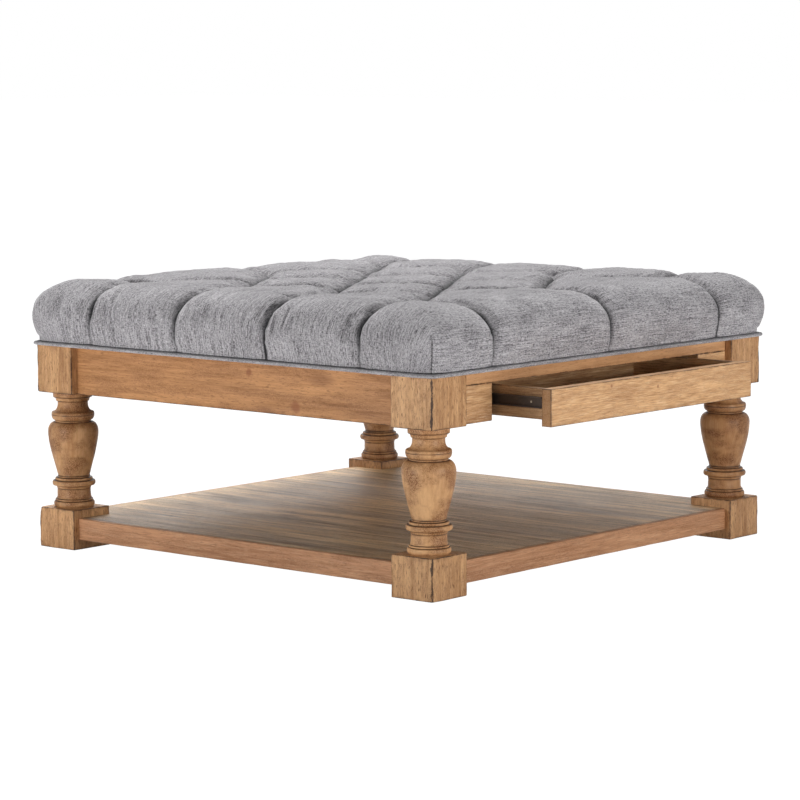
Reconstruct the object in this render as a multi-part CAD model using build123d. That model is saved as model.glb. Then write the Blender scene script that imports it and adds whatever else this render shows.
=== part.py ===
from build123d import *
import math
import os

# A square ottoman coffee table: four turned legs, a plank shelf low between them, an apron frame
# with one drawer on ball slides, and a tufted cushion on top.
# Millimetres, +Z up. The origin is on the floor under the middle of the frame, the drawer opens
# towards -Y, and the drawer is drawn part open.

# Frame and legs
frame_width = 940.0
frame_top = 371.4
leg_block = 87.4
leg_arris = 1.4
bead_flats = 3
belly_flats = 2
shoulder_flats = 3
foot_height = 72.85
apron_height = 87.1

# The turned shaft, from the foot block up
foot_bead_height = 13.5
foot_bead_radius = 37.0
foot_cove_height = 3.5
neck_height = 19.1
neck_radius = 30.1
collar_height = 13.8
collar_radius = 39.3
collar_fillet_height = 3.0
collar_fillet_radius = 34.0
vase_foot_cove = 4.2
vase_foot_radius = 28.7
vase_radius = 45.9
vase_shoulder_height = 16.3
vase_belly_height = 24.0
cap_fillet_height = 3.8
cap_fillet_radius = 38.0
cap_groove_height = 4.8
cap_groove_radius = 33.1
ring_height = 13.5
ring_radius = 40.1
bead_depth = 4.4
throat_height = 20.5
throat_radius = 28.0
throat_lip_radius = 33.0
flange_fillet_height = 3.6
flange_fillet_radius = 35.0
flange_height = 9.8
flange_radius = 37.8
flange_drop = 3.2

# Aprons, front rail and stiles
apron_inset = 15.0
apron_thickness = 22.0
tenon_thickness = 12.0
tenon_length = 20.0
tenon_shoulder = 10.0
front_rail_height = 22.4
stile_width = 87.6

# Corner blocks and their hanger bolts
corner_block_height = 60.0
corner_block_thickness = 22.0
bolt_radius = 4.0
bolt_in_leg = 32.0
bolt_past_nut = 4.0
bolt_clearance = 0.5
fastener_flat_count = 8
washer_radius = 9.0
washer_thickness = 1.6
nut_across_flats = 13.0
nut_height = 6.5
deck_screw_radius = 2.5
deck_screw_length = 68.0
deck_screw_from_apron = 18.0
deck_screw_depth_share = 0.75

# Boards that carry the drawer slides
slide_board_thickness = 15.0
slide_board_height = 52.0

# Drawer
drawer_open = 121.0
drawer_front_gap = 5.0
drawer_front_top_gap = 4.0
drawer_front_height = 63.5
drawer_front_thickness = 20.0
drawer_front_arris = 1.0
drawer_side_thickness = 12.0
drawer_side_height = 52.0
drawer_side_drop = 1.0
drawer_back_set_in = 12.0
drawer_back_drop = 3.0
drawer_bottom_thickness = 5.0
drawer_bottom_up = 5.5
drawer_groove_depth = 6.0
drawer_groove_clearance = 0.2
dowel_radius = 4.0
dowel_in_front = 12.0
dowel_in_side = 20.0

# Ball slides, one at each side of the drawer
slide_space = 12.7
slide_length = 250.0
slide_overlap = 64.0
slide_behind_front = 2.0
slide_metal = 1.4
slide_outer_height = 27.0
slide_inner_height = 18.5
slide_outer_flange = 9.6
slide_inner_flange = 8.7
slide_axis_drop = 28.45
cage_metal = 0.8
cage_length = 60.0
cage_from_web = 0.9
cage_flange = 6.6
slide_screw_radius = 2.0
slide_screw_in_wood = 8.0
slide_screw_from_end = 25.0

# Shelf
shelf_top = 57.5
shelf_thickness = 39.5
shelf_inset = 12.7
shelf_rail_thickness = 22.0
shelf_rail_lip = 8.0
shelf_rail_arris = 2.5
shelf_plank_thickness = 18.0
shelf_plank_count = 8
shelf_batten_width = 60.0
shelf_batten_height = 20.0
shelf_screw_radius = 3.0
shelf_screw_in_foot = 11.0

# Seat deck, cushion and flange
deck_thickness = 15.0
deck_inset = 8.0
flange_welt_height = 6.3
flange_welt_out = 16.0
flange_welt_width = 24.0
flange_welt_corner = 30.0
cushion_overhang = 20.0
cushion_top = 486.5
cushion_corner = 42.0
soft_clearance = 0.3
cushion_pocket_clearance = 0.4

# Tufting: three columns of four tufts, with columns of three set between them, joined by folds
tuft_from_side = 168.0
tuft_from_end = 169.75
tuft_depth = 42.0
tuft_pit_radius = 66.0
tuft_pit_shoulder_radius = 30.0
tuft_pit_shoulder_depth = 23.0
tuft_pit_floor_radius = 5.0
tuft_pit_sides = 8
fold_depth = 27.0
fold_half_width = 66.0
pleat_depth = 21.0
pleat_half_width = 50.0
fold_flats = 2
fold_round = 1.7
fold_rise = 12.0
tie_width = 8.0
tie_thickness = 1.2
tie_tail = 30.0
tie_clearance = 0.2

# Cushion outline: drawn in at its foot and between its corners, fullest at mid height, then rolled over
cushion_foot_inset = 12.0
cushion_waist_inset = 4.0
cushion_side_draw = 5.0
cushion_roll_width = 95.0
cushion_roll_flats = 4
cushion_waist_share = 0.22
cushion_full_share = 0.5

# How far a cut runs past the face that it goes through
overrun = 3.0

# Places worked out from the sizes above
half_frame = frame_width / 2
leg_axis = half_frame - leg_block / 2
leg_inner = half_frame - leg_block
apron_bottom = frame_top - apron_height
apron_outer = half_frame - apron_inset
apron_inner = apron_outer - apron_thickness
rail_bottom = frame_top - front_rail_height
half_opening = leg_inner - stile_width
shelf_bottom = shelf_top - shelf_thickness
shelf_outer = half_frame - shelf_inset
slide_centre = rail_bottom - slide_axis_drop
drawer_travel = slide_length - slide_overlap
drawer_face = -apron_outer - drawer_open
drawer_front_back = drawer_face + drawer_front_thickness
drawer_side_outer = half_opening - slide_space
drawer_side_inner = drawer_side_outer - drawer_side_thickness
drawer_side_top = rail_bottom - drawer_front_top_gap - drawer_side_drop
drawer_side_bottom = drawer_side_top - drawer_side_height
drawer_side_end = drawer_front_back + slide_length
drawer_bottom_low = drawer_side_bottom + drawer_bottom_up
drawer_bottom_high = drawer_bottom_low + drawer_bottom_thickness
cushion_base = frame_top + flange_welt_height + soft_clearance
cushion_half = half_frame + cushion_overhang
tuft_pitch_x = cushion_half - tuft_from_side
tuft_pitch_y = (cushion_half - tuft_from_end) * 2 / 3

sides = {"left": -1, "right": 1}
ends = {"front": -1, "back": 1}


def block(x_low, x_high, y_low, y_high, z_low, z_high):
    """A square-edged piece between two opposite corners."""
    size = (x_high - x_low, y_high - y_low, z_high - z_low)
    middle = ((x_low + x_high) / 2, (y_low + y_high) / 2, (z_low + z_high) / 2)
    return Pos(*middle) * Box(*size)


def rod(start, direction, radius, length):
    """A fastener's shank from a point along a direction, or the hole that it fills, in a few flats."""
    return extrude(Plane(origin=start, z_dir=direction) * RegularPolygon(radius, fastener_flat_count), length)


def joined(pieces):
    """Separate solids kept together as one group."""
    return Compound(children=[solid for piece in pieces for solid in piece.solids()])


def save(name, shape):
    export_step(shape, os.path.join("parts", name + ".step"))


def swell(root_radius, crest_radius, low, high):
    """A rounded ring or hollow of the turned outline, as the corners of its flats."""
    corners = []
    fullest = math.sin(math.pi * (bead_flats // 2) / bead_flats)
    for step in range(bead_flats + 1):
        turn = math.pi * step / bead_flats
        radius = root_radius + (crest_radius - root_radius) * math.sin(turn) / fullest
        corners.append((radius, low + (high - low) * (1 - math.cos(turn)) / 2))
    return corners


def turned_outline():
    """Half of the turned shaft's section, from the foot block's top into the upper block."""
    flange_low = apron_bottom - flange_height
    throat_top = flange_low - flange_fillet_height
    throat_low = throat_top - throat_height
    ring_low = throat_low - ring_height
    groove_low = ring_low - cap_groove_height
    cap_low = groove_low - cap_fillet_height
    crest = cap_low - vase_shoulder_height
    belly = crest - vase_belly_height
    sink = foot_height - overrun

    # bead, neck and collar
    bead_top = foot_height + foot_bead_height
    neck_low = bead_top + foot_cove_height
    collar_low = neck_low + neck_height
    collar_top = collar_low + collar_height
    corners = [(0, sink), (foot_bead_radius - bead_depth, sink)]
    corners += swell(foot_bead_radius - bead_depth, foot_bead_radius, foot_height, bead_top)
    corners += [(neck_radius, neck_low), (neck_radius, collar_low)]
    corners += swell(collar_radius - bead_depth, collar_radius, collar_low, collar_top)

    # the vase: a straight taper, the belly that brings it upright at its widest, and the shoulder
    fillet_top = collar_top + collar_fillet_height
    vase_low = fillet_top + vase_foot_cove
    taper = (vase_radius - vase_foot_radius) / (crest - vase_low - vase_belly_height / 2)
    belly_radius = vase_foot_radius + taper * (belly - vase_low)
    corners += [(collar_fillet_radius, fillet_top), (vase_foot_radius, vase_low)]
    for step in range(belly_flats):
        left = 1 - step / belly_flats
        radius = vase_radius - (vase_radius - belly_radius) * left**2
        corners.append((radius, crest - vase_belly_height * left))
    for step in range(shoulder_flats + 1):
        turn = math.pi / 2 * step / shoulder_flats
        radius = cap_fillet_radius + (vase_radius - cap_fillet_radius) * math.cos(turn)
        corners.append((radius, crest + vase_shoulder_height * math.sin(turn)))

    # cap, groove, ring, throat and the flange under the upper block
    corners += [(cap_fillet_radius, groove_low), (cap_groove_radius, groove_low)]
    corners += swell(ring_radius - bead_depth, ring_radius, ring_low, throat_low)
    corners += swell(throat_lip_radius, throat_radius, throat_low, throat_top)
    flange_turn = (flange_fillet_radius + 3 * flange_radius) / 4
    corners += [(flange_fillet_radius, flange_low), (flange_turn, (3 * flange_low + apron_bottom) / 4)]
    corners += [(flange_radius, apron_bottom - flange_drop), (flange_radius, apron_bottom + overrun)]
    corners.append((0, apron_bottom + overrun))
    return make_face(Plane.XZ * Polyline(*corners, close=True))


def leg_blank():
    """One leg at the back right corner: foot block, turned shaft and upper block in one stick."""
    spread = (leg_inner, half_frame, leg_inner, half_frame)
    foot = chamfer(block(*spread, 0, foot_height).edges(), leg_arris)
    head = chamfer(block(*spread, apron_bottom, frame_top).edges(), leg_arris)
    shaft = Pos(leg_axis, leg_axis, 0) * revolve(turned_outline(), Axis.Z)
    leg = foot + shaft + head

    # the inner quarter of the foot is cut away up to the shelf's top, for the shelf's corner
    leg -= block(leg_inner - overrun, leg_axis, leg_inner - overrun, leg_axis, -overrun, shelf_top)

    # mortises for the two tenons
    low, high = tenon_heights()
    near = apron_outer - (apron_thickness + tenon_thickness) / 2
    mortise = block(near, near + tenon_thickness, leg_inner - overrun, leg_inner + tenon_length, low, high)
    leg -= mortise
    leg -= mirror(mortise, Plane(origin=(0, 0, 0), z_dir=(1, -1, 0)))

    # holes for the hanger bolt and for the shelf's screw
    leg -= rod(bolt_start(), (-1, -1, 0), bolt_radius, bolt_in_leg + overrun)
    screw_start = (*shelf_screw_place(), shelf_top - overrun)
    leg -= rod(screw_start, (0, 0, 1), shelf_screw_radius, shelf_screw_in_foot + overrun)
    return leg


def tenon_heights():
    return apron_bottom + tenon_shoulder, frame_top - tenon_shoulder


def bolt_height():
    return frame_top - corner_block_height / 2


def bolt_start():
    """The hanger bolt's inner end, inside the leg."""
    inset = bolt_in_leg / math.sqrt(2)
    return (leg_inner + inset, leg_inner + inset, bolt_height())


def shelf_screw_place():
    middle = (leg_inner + leg_axis) / 2
    return middle, middle


def at_corner(shape, side, end):
    """A piece drawn at the back right corner, turned over to another corner."""
    if side < 0:
        shape = mirror(shape, Plane.YZ)
    if end < 0:
        shape = mirror(shape, Plane.XZ)
    return shape


def legs():
    blank = leg_blank()
    for end_name, end in ends.items():
        for side_name, side in sides.items():
            save(f"leg_{end_name}_{side_name}", at_corner(blank, side, end))


def rail_with_tenons(low, high, tenon_low, tenon_high):
    """A board along X behind the front, from leg to leg, with a tenon on each end."""
    board = block(-leg_inner, leg_inner, apron_inner, apron_outer, low, high)
    near = apron_outer - (apron_thickness + tenon_thickness) / 2
    reach = leg_inner + tenon_length
    tenon = block(-reach, reach, near, near + tenon_thickness, tenon_low, tenon_high)
    return board + tenon


def aprons():
    low, high = tenon_heights()
    apron = rail_with_tenons(apron_bottom, frame_top, low, high)
    save("apron_back", apron)
    save("apron_left", Rot(0, 0, 90) * apron)
    save("apron_right", Rot(0, 0, -90) * apron)
    save("front_top_rail", mirror(rail_with_tenons(rail_bottom, frame_top, rail_bottom, high), Plane.XZ))
    near = apron_outer - (apron_thickness + tenon_thickness) / 2
    stile = block(half_opening, leg_inner, -apron_outer, -apron_inner, apron_bottom, rail_bottom)
    stile += block(leg_inner, leg_inner + tenon_length, -near - tenon_thickness, -near, low, rail_bottom)
    save("front_stile_right", stile)
    save("front_stile_left", mirror(stile, Plane.YZ))


def corner_blocks():
    """Mitred blocks across the inner corners, bolted to the legs and screwed to the deck."""
    face = 2 * leg_inner - corner_block_thickness * math.sqrt(2)
    low = frame_top - corner_block_height
    outline = Polyline(
        (apron_inner, 2 * leg_inner - apron_inner),
        (2 * leg_inner - apron_inner, apron_inner),
        (face - apron_inner, apron_inner),
        (apron_inner, face - apron_inner),
        close=True,
    )
    piece = Pos(0, 0, low) * extrude(make_face(outline), corner_block_height)

    # its end on the long side stops short of the board that carries the drawer slide
    stop = half_opening + slide_board_thickness
    piece -= block(0, stop, 0, half_frame, low - overrun, frame_top + overrun)
    length = bolt_in_leg + corner_block_thickness + washer_thickness + nut_height + bolt_past_nut
    inward = (-1, -1, 0)
    bolt = rod(bolt_start(), inward, bolt_radius, length)
    piece -= rod(bolt_start(), inward, bolt_radius + bolt_clearance, length)

    # washer and nut on the block's inner face
    step = 1 / math.sqrt(2)
    seat = leg_inner - corner_block_thickness * step
    washer = rod((seat, seat, bolt_height()), inward, washer_radius, washer_thickness) - bolt
    seat -= washer_thickness * step
    hexagon = RegularPolygon(nut_across_flats / 2, 6, major_radius=False)
    nut = Plane(origin=(seat, seat, bolt_height()), z_dir=inward) * extrude(hexagon, nut_height) - bolt

    # a screw up into the deck, near the block's end on the side apron
    screw_y = 2 * leg_inner - apron_inner - corner_block_thickness / 2
    screw_x = apron_inner - deck_screw_from_apron
    top = frame_top + deck_thickness * deck_screw_depth_share
    screw = rod((screw_x, screw_y, top - deck_screw_length), (0, 0, 1), deck_screw_radius, deck_screw_length)
    piece -= screw
    places = [(side, end) for end in ends.values() for side in sides.values()]
    save("corner_blocks", joined([at_corner(piece, *place) for place in places]))
    save("hanger_bolts", joined([at_corner(bolt, *place) for place in places]))
    save("hanger_washers", joined([at_corner(washer, *place) for place in places]))
    save("hanger_nuts", joined([at_corner(nut, *place) for place in places]))
    screws = joined([at_corner(screw, *place) for place in places])
    save("deck_screws", screws)
    return screws


def channel(web_x, web_inward, height, flange, metal, y_low, y_high):
    """A folded steel channel along Y: its web at web_x, its flanges running towards web_inward."""
    tip = web_x + web_inward * flange
    inner = web_x + web_inward * metal
    low, high = slide_centre - height / 2, slide_centre + height / 2
    outside = block(min(web_x, tip), max(web_x, tip), y_low, y_high, low, high)
    inside = block(
        min(inner, tip + web_inward * overrun),
        max(inner, tip + web_inward * overrun),
        y_low - overrun,
        y_high + overrun,
        low + metal,
        high - metal,
    )
    return outside - inside


def slides():
    """Two-part ball slides: one channel on its board, one on the drawer, and a cage between them."""
    outer_front = -apron_outer + drawer_front_thickness + slide_behind_front
    outer_back = outer_front + slide_length
    inner_front = outer_front - drawer_open
    inner_back = outer_back - drawer_open
    places = [slide_screw_from_end, slide_length - slide_screw_from_end]

    metal = slide_metal
    outer_size = (slide_outer_height, slide_outer_flange, metal)
    inner_size = (slide_inner_height, slide_inner_flange, metal)
    outer = channel(half_opening, -1, *outer_size, outer_front, outer_back)
    inner = channel(drawer_side_outer, 1, *inner_size, inner_front, inner_back)
    length = slide_metal + slide_screw_in_wood
    outer_web = half_opening - slide_metal
    inner_web = drawer_side_outer + slide_metal
    outer_screws = []
    inner_screws = []
    for place in places:
        start = (outer_web, outer_front + place, slide_centre)
        outer_screws.append(rod(start, (1, 0, 0), slide_screw_radius, length))
        start = (inner_web, inner_front + place, slide_centre)
        inner_screws.append(rod(start, (-1, 0, 0), slide_screw_radius, length))
    outer -= outer_screws
    inner -= inner_screws

    # the cage lies between the channels' flanges and follows at half the drawer's travel
    web = outer_web - cage_from_web
    between = (slide_outer_height - 2 * slide_metal + slide_inner_height) / 2
    cage_front = outer_front + (drawer_travel - drawer_open) / 2
    cage_size = (between + cage_metal, cage_flange, cage_metal)
    cage = channel(web, -1, *cage_size, cage_front, cage_front + cage_length)

    board_low = rail_bottom - slide_board_height
    board_outer = half_opening + slide_board_thickness
    board = block(half_opening, board_outer, -apron_inner, apron_inner, board_low, rail_bottom)
    board -= outer_screws
    for name, side in sides.items():
        save(f"slide_board_{name}", at_corner(board, side, 1))
        save(f"slide_outer_{name}", at_corner(outer, side, 1))
        save(f"slide_inner_{name}", at_corner(inner, side, 1))
        save(f"slide_cage_{name}", at_corner(cage, side, 1))
    for name, screws in {"slide_board_screws": outer_screws, "slide_drawer_screws": inner_screws}.items():
        save(name, joined([at_corner(screw, side, 1) for screw in screws for side in sides.values()]))
    return inner_screws


def drawer(inner_screws):
    front_half = half_opening - drawer_front_gap
    front_top = rail_bottom - drawer_front_top_gap
    front_low = front_top - drawer_front_height
    front = block(-front_half, front_half, drawer_face, drawer_front_back, front_low, front_top)
    front = chamfer(front.edges(), drawer_front_arris)
    side = block(
        drawer_side_inner,
        drawer_side_outer,
        drawer_front_back,
        drawer_side_end,
        drawer_side_bottom,
        drawer_side_top,
    )
    back_end = drawer_side_end - drawer_back_set_in
    back_inner = back_end - drawer_side_thickness
    reach = drawer_side_inner + drawer_groove_depth
    groove = block(
        -reach,
        reach,
        drawer_front_back - drawer_groove_depth,
        drawer_side_end + overrun,
        drawer_bottom_low,
        drawer_bottom_high,
    )
    front -= groove
    side -= groove
    slack = drawer_groove_clearance
    bottom = block(
        slack - reach,
        reach - slack,
        drawer_front_back - drawer_groove_depth + slack,
        back_end,
        drawer_bottom_low,
        drawer_bottom_high,
    )
    back = block(
        -drawer_side_inner,
        drawer_side_inner,
        back_inner,
        back_end,
        drawer_bottom_high,
        drawer_side_top - drawer_back_drop,
    )

    # two dowels hold each side to the front
    dowel_x = (drawer_side_inner + drawer_side_outer) / 2
    dowels = []
    for height in (drawer_bottom_high + 2 * dowel_radius, drawer_side_top - 2 * dowel_radius):
        start = (dowel_x, drawer_front_back - dowel_in_front, height)
        dowels.append(rod(start, (0, 1, 0), dowel_radius, dowel_in_front + dowel_in_side))
    all_dowels = [at_corner(dowel, side_sign, 1) for dowel in dowels for side_sign in sides.values()]
    front -= all_dowels
    side -= dowels
    side -= inner_screws
    save("drawer_front", front)
    save("drawer_side_right", side)
    save("drawer_side_left", mirror(side, Plane.YZ))
    save("drawer_back", back)
    save("drawer_bottom", bottom)
    save("drawer_dowels", joined(all_dowels))


def shelf():
    plank_low = shelf_top - shelf_plank_thickness
    batten_low = plank_low - shelf_batten_height
    screw_x, screw_y = shelf_screw_place()
    screw_length = shelf_top - batten_low + shelf_screw_in_foot
    screw = rod((screw_x, screw_y, batten_low), (0, 0, 1), shelf_screw_radius, screw_length)
    screws = [at_corner(screw, side, end) for side in sides.values() for end in ends.values()]

    # edge rails from foot to foot, with a rabbet that carries the planks
    rail_inner = shelf_outer - shelf_rail_thickness
    rail = block(-leg_inner, leg_inner, rail_inner, shelf_outer, shelf_bottom, shelf_top)
    outer_edges = rail.edges().filter_by(Axis.X).group_by(Axis.Y)[-1]
    rail = chamfer(outer_edges, shelf_rail_arris)
    lip = shelf_outer - shelf_rail_lip
    rail -= block(
        -leg_inner - overrun,
        leg_inner + overrun,
        rail_inner - overrun,
        lip,
        plank_low,
        shelf_top + overrun,
    )
    for name, turn in {"back": 0, "left": 90, "front": 180, "right": 270}.items():
        save(f"shelf_rail_{name}", Rot(0, 0, turn) * rail)

    # planks along Y, the outer ones cut round the feet
    width = 2 * lip / shelf_plank_count
    feet = []
    for side in sides.values():
        for end in ends.values():
            spread = (leg_inner, half_frame, leg_inner, half_frame)
            corner = block(*spread, shelf_bottom - overrun, shelf_top + overrun)
            corner -= block(
                leg_inner - overrun,
                leg_axis,
                leg_inner - overrun,
                leg_axis,
                shelf_bottom - 2 * overrun,
                shelf_top + 2 * overrun,
            )
            feet.append(at_corner(corner, side, end))
    for number in range(shelf_plank_count):
        start = number * width - lip
        plank = block(start, start + width, -lip, lip, plank_low, shelf_top)
        plank -= feet
        plank -= screws
        save(f"shelf_plank_{number + 1}", plank)

    # battens under the planks; the end ones reach into the feet
    end_batten = block(-leg_axis, leg_axis, leg_axis - shelf_batten_width, leg_axis, batten_low, plank_low)
    save("shelf_batten_back", end_batten - screws)
    save("shelf_batten_front", mirror(end_batten, Plane.XZ) - screws)
    inner_batten = block(
        -rail_inner,
        rail_inner,
        (leg_axis - shelf_batten_width) / 3 - shelf_batten_width / 2,
        (leg_axis - shelf_batten_width) / 3 + shelf_batten_width / 2,
        batten_low,
        plank_low,
    )
    save("shelf_batten_inner_back", inner_batten)
    save("shelf_batten_inner_front", mirror(inner_batten, Plane.XZ))
    save("shelf_screws", joined(screws))


def tuft_places():
    """The tufts: three columns of four, and two columns of three set between them."""
    outer_rows = [tuft_pitch_y * (row - 3 / 2) for row in range(4)]
    inner_rows = [tuft_pitch_y * (row - 1) for row in range(3)]
    places = [(tuft_pitch_x * column, y) for column in (-1, 0, 1) for y in outer_rows]
    places += [(tuft_pitch_x * column, y) for column in (-1 / 2, 1 / 2) for y in inner_rows]
    return places


def seat_deck(screws):
    """Plywood under the foam, slotted for the tufting ties, which turn over and are stapled below."""
    half = half_frame - deck_inset
    outline = RectangleRounded(2 * half, 2 * half, flange_welt_corner)
    deck = Pos(0, 0, frame_top) * extrude(outline, deck_thickness)
    ties = []
    slots = []
    for x, y in tuft_places():
        slots.append(
            block(
                x - tie_width / 2 - tie_clearance,
                x + tie_width / 2 + tie_clearance,
                y - tie_thickness / 2 - tie_clearance,
                y + tie_thickness / 2 + tie_clearance,
                frame_top - overrun,
                frame_top + deck_thickness + overrun,
            )
        )
        drop = block(
            x - tie_width / 2,
            x + tie_width / 2,
            y - tie_thickness / 2,
            y + tie_thickness / 2,
            frame_top - tie_thickness,
            frame_top + deck_thickness,
        )
        tail = block(
            x - tie_width / 2,
            x + tie_width / 2,
            y - tie_thickness / 2,
            y + tie_tail,
            frame_top - tie_thickness,
            frame_top,
        )
        ties.append(drop + tail)
    save("seat_deck", deck - slots - screws)
    save("tuft_ties", joined(ties))


def welt():
    """The sewn flange that runs round the cushion's foot."""
    outer = half_frame + flange_welt_out
    inner = outer - flange_welt_width
    ring = RectangleRounded(2 * outer, 2 * outer, flange_welt_corner)
    ring -= RectangleRounded(2 * inner, 2 * inner, flange_welt_corner / 2)
    save("welt", Pos(0, 0, frame_top) * extrude(ring, flange_welt_height))


def fold_section(half_width, depth):
    """A fold's section, hung from its top middle: pillow flanks in flats that meet in a crease."""
    flank = []
    for step in range(fold_flats + 1):
        out = step / fold_flats
        flank.append((half_width * out, -depth * (1 - out) ** fold_round))
    mirrored = [(-out, drop) for out, drop in reversed(flank[1:])]
    lid = [(half_width, fold_rise), (-half_width, fold_rise)]
    return make_face(Polyline(*mirrored, *flank, *lid, close=True))


def tuft_pit():
    """The pit that a tuft pulls, as a cutter: a funnel in two steps, all of flat faces."""
    steps = {
        cushion_top - tuft_depth: tuft_pit_floor_radius,
        cushion_top - tuft_pit_shoulder_depth: tuft_pit_shoulder_radius,
        cushion_top: tuft_pit_radius,
    }
    turns = [2 * math.pi * side / tuft_pit_sides for side in range(tuft_pit_sides)]
    rings = []
    for height, radius in steps.items():
        rings.append([(radius * math.cos(turn), radius * math.sin(turn), height) for turn in turns])
    outlines = [rings[0], rings[-1]]
    for low, high in zip(rings, rings[1:]):
        for side in range(tuft_pit_sides):
            outlines.append([low[side - 1], low[side], high[side], high[side - 1]])
    return Solid(Shell([make_face(Polyline(*outline, close=True)) for outline in outlines]))


def straight_fold(start, end):
    """The cutter of a fold along a row of tufts."""
    along = Vector(end[0] - start[0], end[1] - start[1], 0)
    plane = Plane(origin=(*start, cushion_top), x_dir=along.cross(Vector(0, 0, -1)), z_dir=along)
    return extrude(plane * fold_section(fold_half_width, fold_depth), along.length)


def roll_corners():
    """The corners of the cushion's side: how far each is in from the widest place, and its height."""
    height = cushion_top - cushion_base
    full = height * cushion_full_share
    corners = [(cushion_foot_inset, 0), (cushion_waist_inset, height * cushion_waist_share)]
    for step in range(cushion_roll_flats + 1):
        turn = math.pi / 2 * step / cushion_roll_flats
        inset = cushion_roll_width * (1 - math.cos(turn))
        corners.append((inset, full + (height - full) * math.sin(turn)))
    return [(inset, cushion_base + rise) for inset, rise in corners]


def edge_pleat(start, outward):
    """The cutter of a pleat from an edge tuft over the roll and down the side to the flange."""
    out = Vector(*outward, 0)
    begin = Vector(*start, cushion_top)
    reach = cushion_half - begin.dot(out)
    points = [begin]
    for inset, height in reversed(roll_corners()):
        points.append(Vector(*start, height) + out * (reach - inset))
    plane = Plane(origin=begin, x_dir=out.cross(Vector(0, 0, -1)), z_dir=out)
    section = plane * fold_section(pleat_half_width, pleat_depth)
    return sweep(section, Polyline(*points), transition=Transition.RIGHT)


def cushion_blank():
    """The cushion before it is tufted, cut to the same side outline both ways and to its plan."""
    right = [(cushion_half - inset, height) for inset, height in roll_corners()]
    left = [(-across, height) for across, height in reversed(right)]
    section = make_face(Plane.XZ * Polyline(*right, *left, close=True))
    along = extrude(section, cushion_half, both=True)
    corners = [(-cushion_half, -cushion_half), (cushion_half, -cushion_half)]
    side = ThreePointArc(corners[0], (0, cushion_side_draw - cushion_half), corners[1])
    outline = make_face(Wire([Rot(0, 0, turn) * side for turn in (0, 90, 180, 270)]))
    outline = fillet(outline.vertices(), cushion_corner)
    plan = Pos(0, 0, cushion_base) * extrude(outline, cushion_top - cushion_base)
    return along & Rot(0, 0, 90) * along & plan


def seat_pad():
    cutters = []
    places = tuft_places()
    pit = tuft_pit()
    for x, y in places:
        cutters.append(Pos(x, y, 0) * pit)

    # a fold along each diagonal row, from its first tuft to its last
    step_x, step_y = tuft_pitch_x / 2, tuft_pitch_y / 2

    def is_tuft(x, y):
        return any(math.dist((x, y), place) < step_y / 2 for place in places)

    for direction in (1, -1):
        for x, y in places:
            if is_tuft(x - step_x, y - direction * step_y):
                continue
            end = (x, y)
            while is_tuft(end[0] + step_x, end[1] + direction * step_y):
                end = (end[0] + step_x, end[1] + direction * step_y)
            if end != (x, y):
                cutters.append(straight_fold((x, y), end))

    # a pleat from each tuft of the outer rows to the nearest side
    last_x = tuft_pitch_x
    last_y = tuft_pitch_y * 3 / 2
    for x, y in places:
        if math.isclose(abs(x), last_x):
            cutters.append(edge_pleat((x, y), (math.copysign(1, x), 0)))
        if math.isclose(abs(y), last_y):
            cutters.append(edge_pleat((x, y), (0, math.copysign(1, y))))
    pad = cushion_blank() - cutters

    # a pocket in its underside for the deck
    pocket = half_frame - deck_inset + cushion_pocket_clearance
    deck_top = frame_top + deck_thickness + soft_clearance
    pad -= block(-pocket, pocket, -pocket, pocket, cushion_base - overrun, deck_top)
    save("seat_pad", pad)


os.makedirs("parts", exist_ok=True)
legs()
aprons()
deck_screws = corner_blocks()
drawer(slides())
shelf()
seat_deck(deck_screws)
welt()
seat_pad()
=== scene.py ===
# %% [markdown]
# A square ottoman coffee table: four turned legs, a plank shelf just above the floor, an apron with
# one drawer that stands part open, and a deep tufted cushion in grey linen.
# The construction comes in ready made as a frame of named nodes. This lesson gives it its looks:
# worn, brushed timber made as meshes with broken edges, and a cushion whose cloth is simulated.

# %% The frame
import math
import bpy
import numpy as np
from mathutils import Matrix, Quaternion, Vector


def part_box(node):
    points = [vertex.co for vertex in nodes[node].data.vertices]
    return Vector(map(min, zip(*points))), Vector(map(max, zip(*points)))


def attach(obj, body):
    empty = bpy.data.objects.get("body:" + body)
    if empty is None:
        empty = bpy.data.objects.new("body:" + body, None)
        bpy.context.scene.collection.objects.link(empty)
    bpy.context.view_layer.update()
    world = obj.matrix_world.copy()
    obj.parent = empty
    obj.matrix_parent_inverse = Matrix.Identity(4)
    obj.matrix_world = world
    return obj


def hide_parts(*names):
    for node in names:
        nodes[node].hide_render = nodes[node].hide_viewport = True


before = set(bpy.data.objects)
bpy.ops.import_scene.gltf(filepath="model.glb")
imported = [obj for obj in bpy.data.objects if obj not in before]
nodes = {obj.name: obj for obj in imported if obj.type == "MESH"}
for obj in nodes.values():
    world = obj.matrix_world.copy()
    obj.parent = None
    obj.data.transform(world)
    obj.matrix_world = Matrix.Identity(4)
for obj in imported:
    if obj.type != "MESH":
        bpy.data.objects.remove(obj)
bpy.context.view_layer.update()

# %% [markdown]
# The camera stands where the photographer stood. A long lens from nearly six metres keeps the sides
# almost parallel, which is why the far legs look nearly as large as the near one.

# %% Camera
azimuth = math.radians(-49.272)
elevation = math.radians(6.81)
camera_distance = 5.8817
camera_tilt = math.radians(-0.271)
aim = Vector((0, 0, 0.235))

camera_data = bpy.data.cameras.new("camera")
camera_data.lens = 143.87
camera_data.sensor_width = 36
camera_data.shift_x = -0.00183
camera_data.shift_y = 0.01682
camera = bpy.data.objects.new("camera", camera_data)
bpy.context.scene.collection.objects.link(camera)
bpy.context.scene.camera = camera

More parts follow.
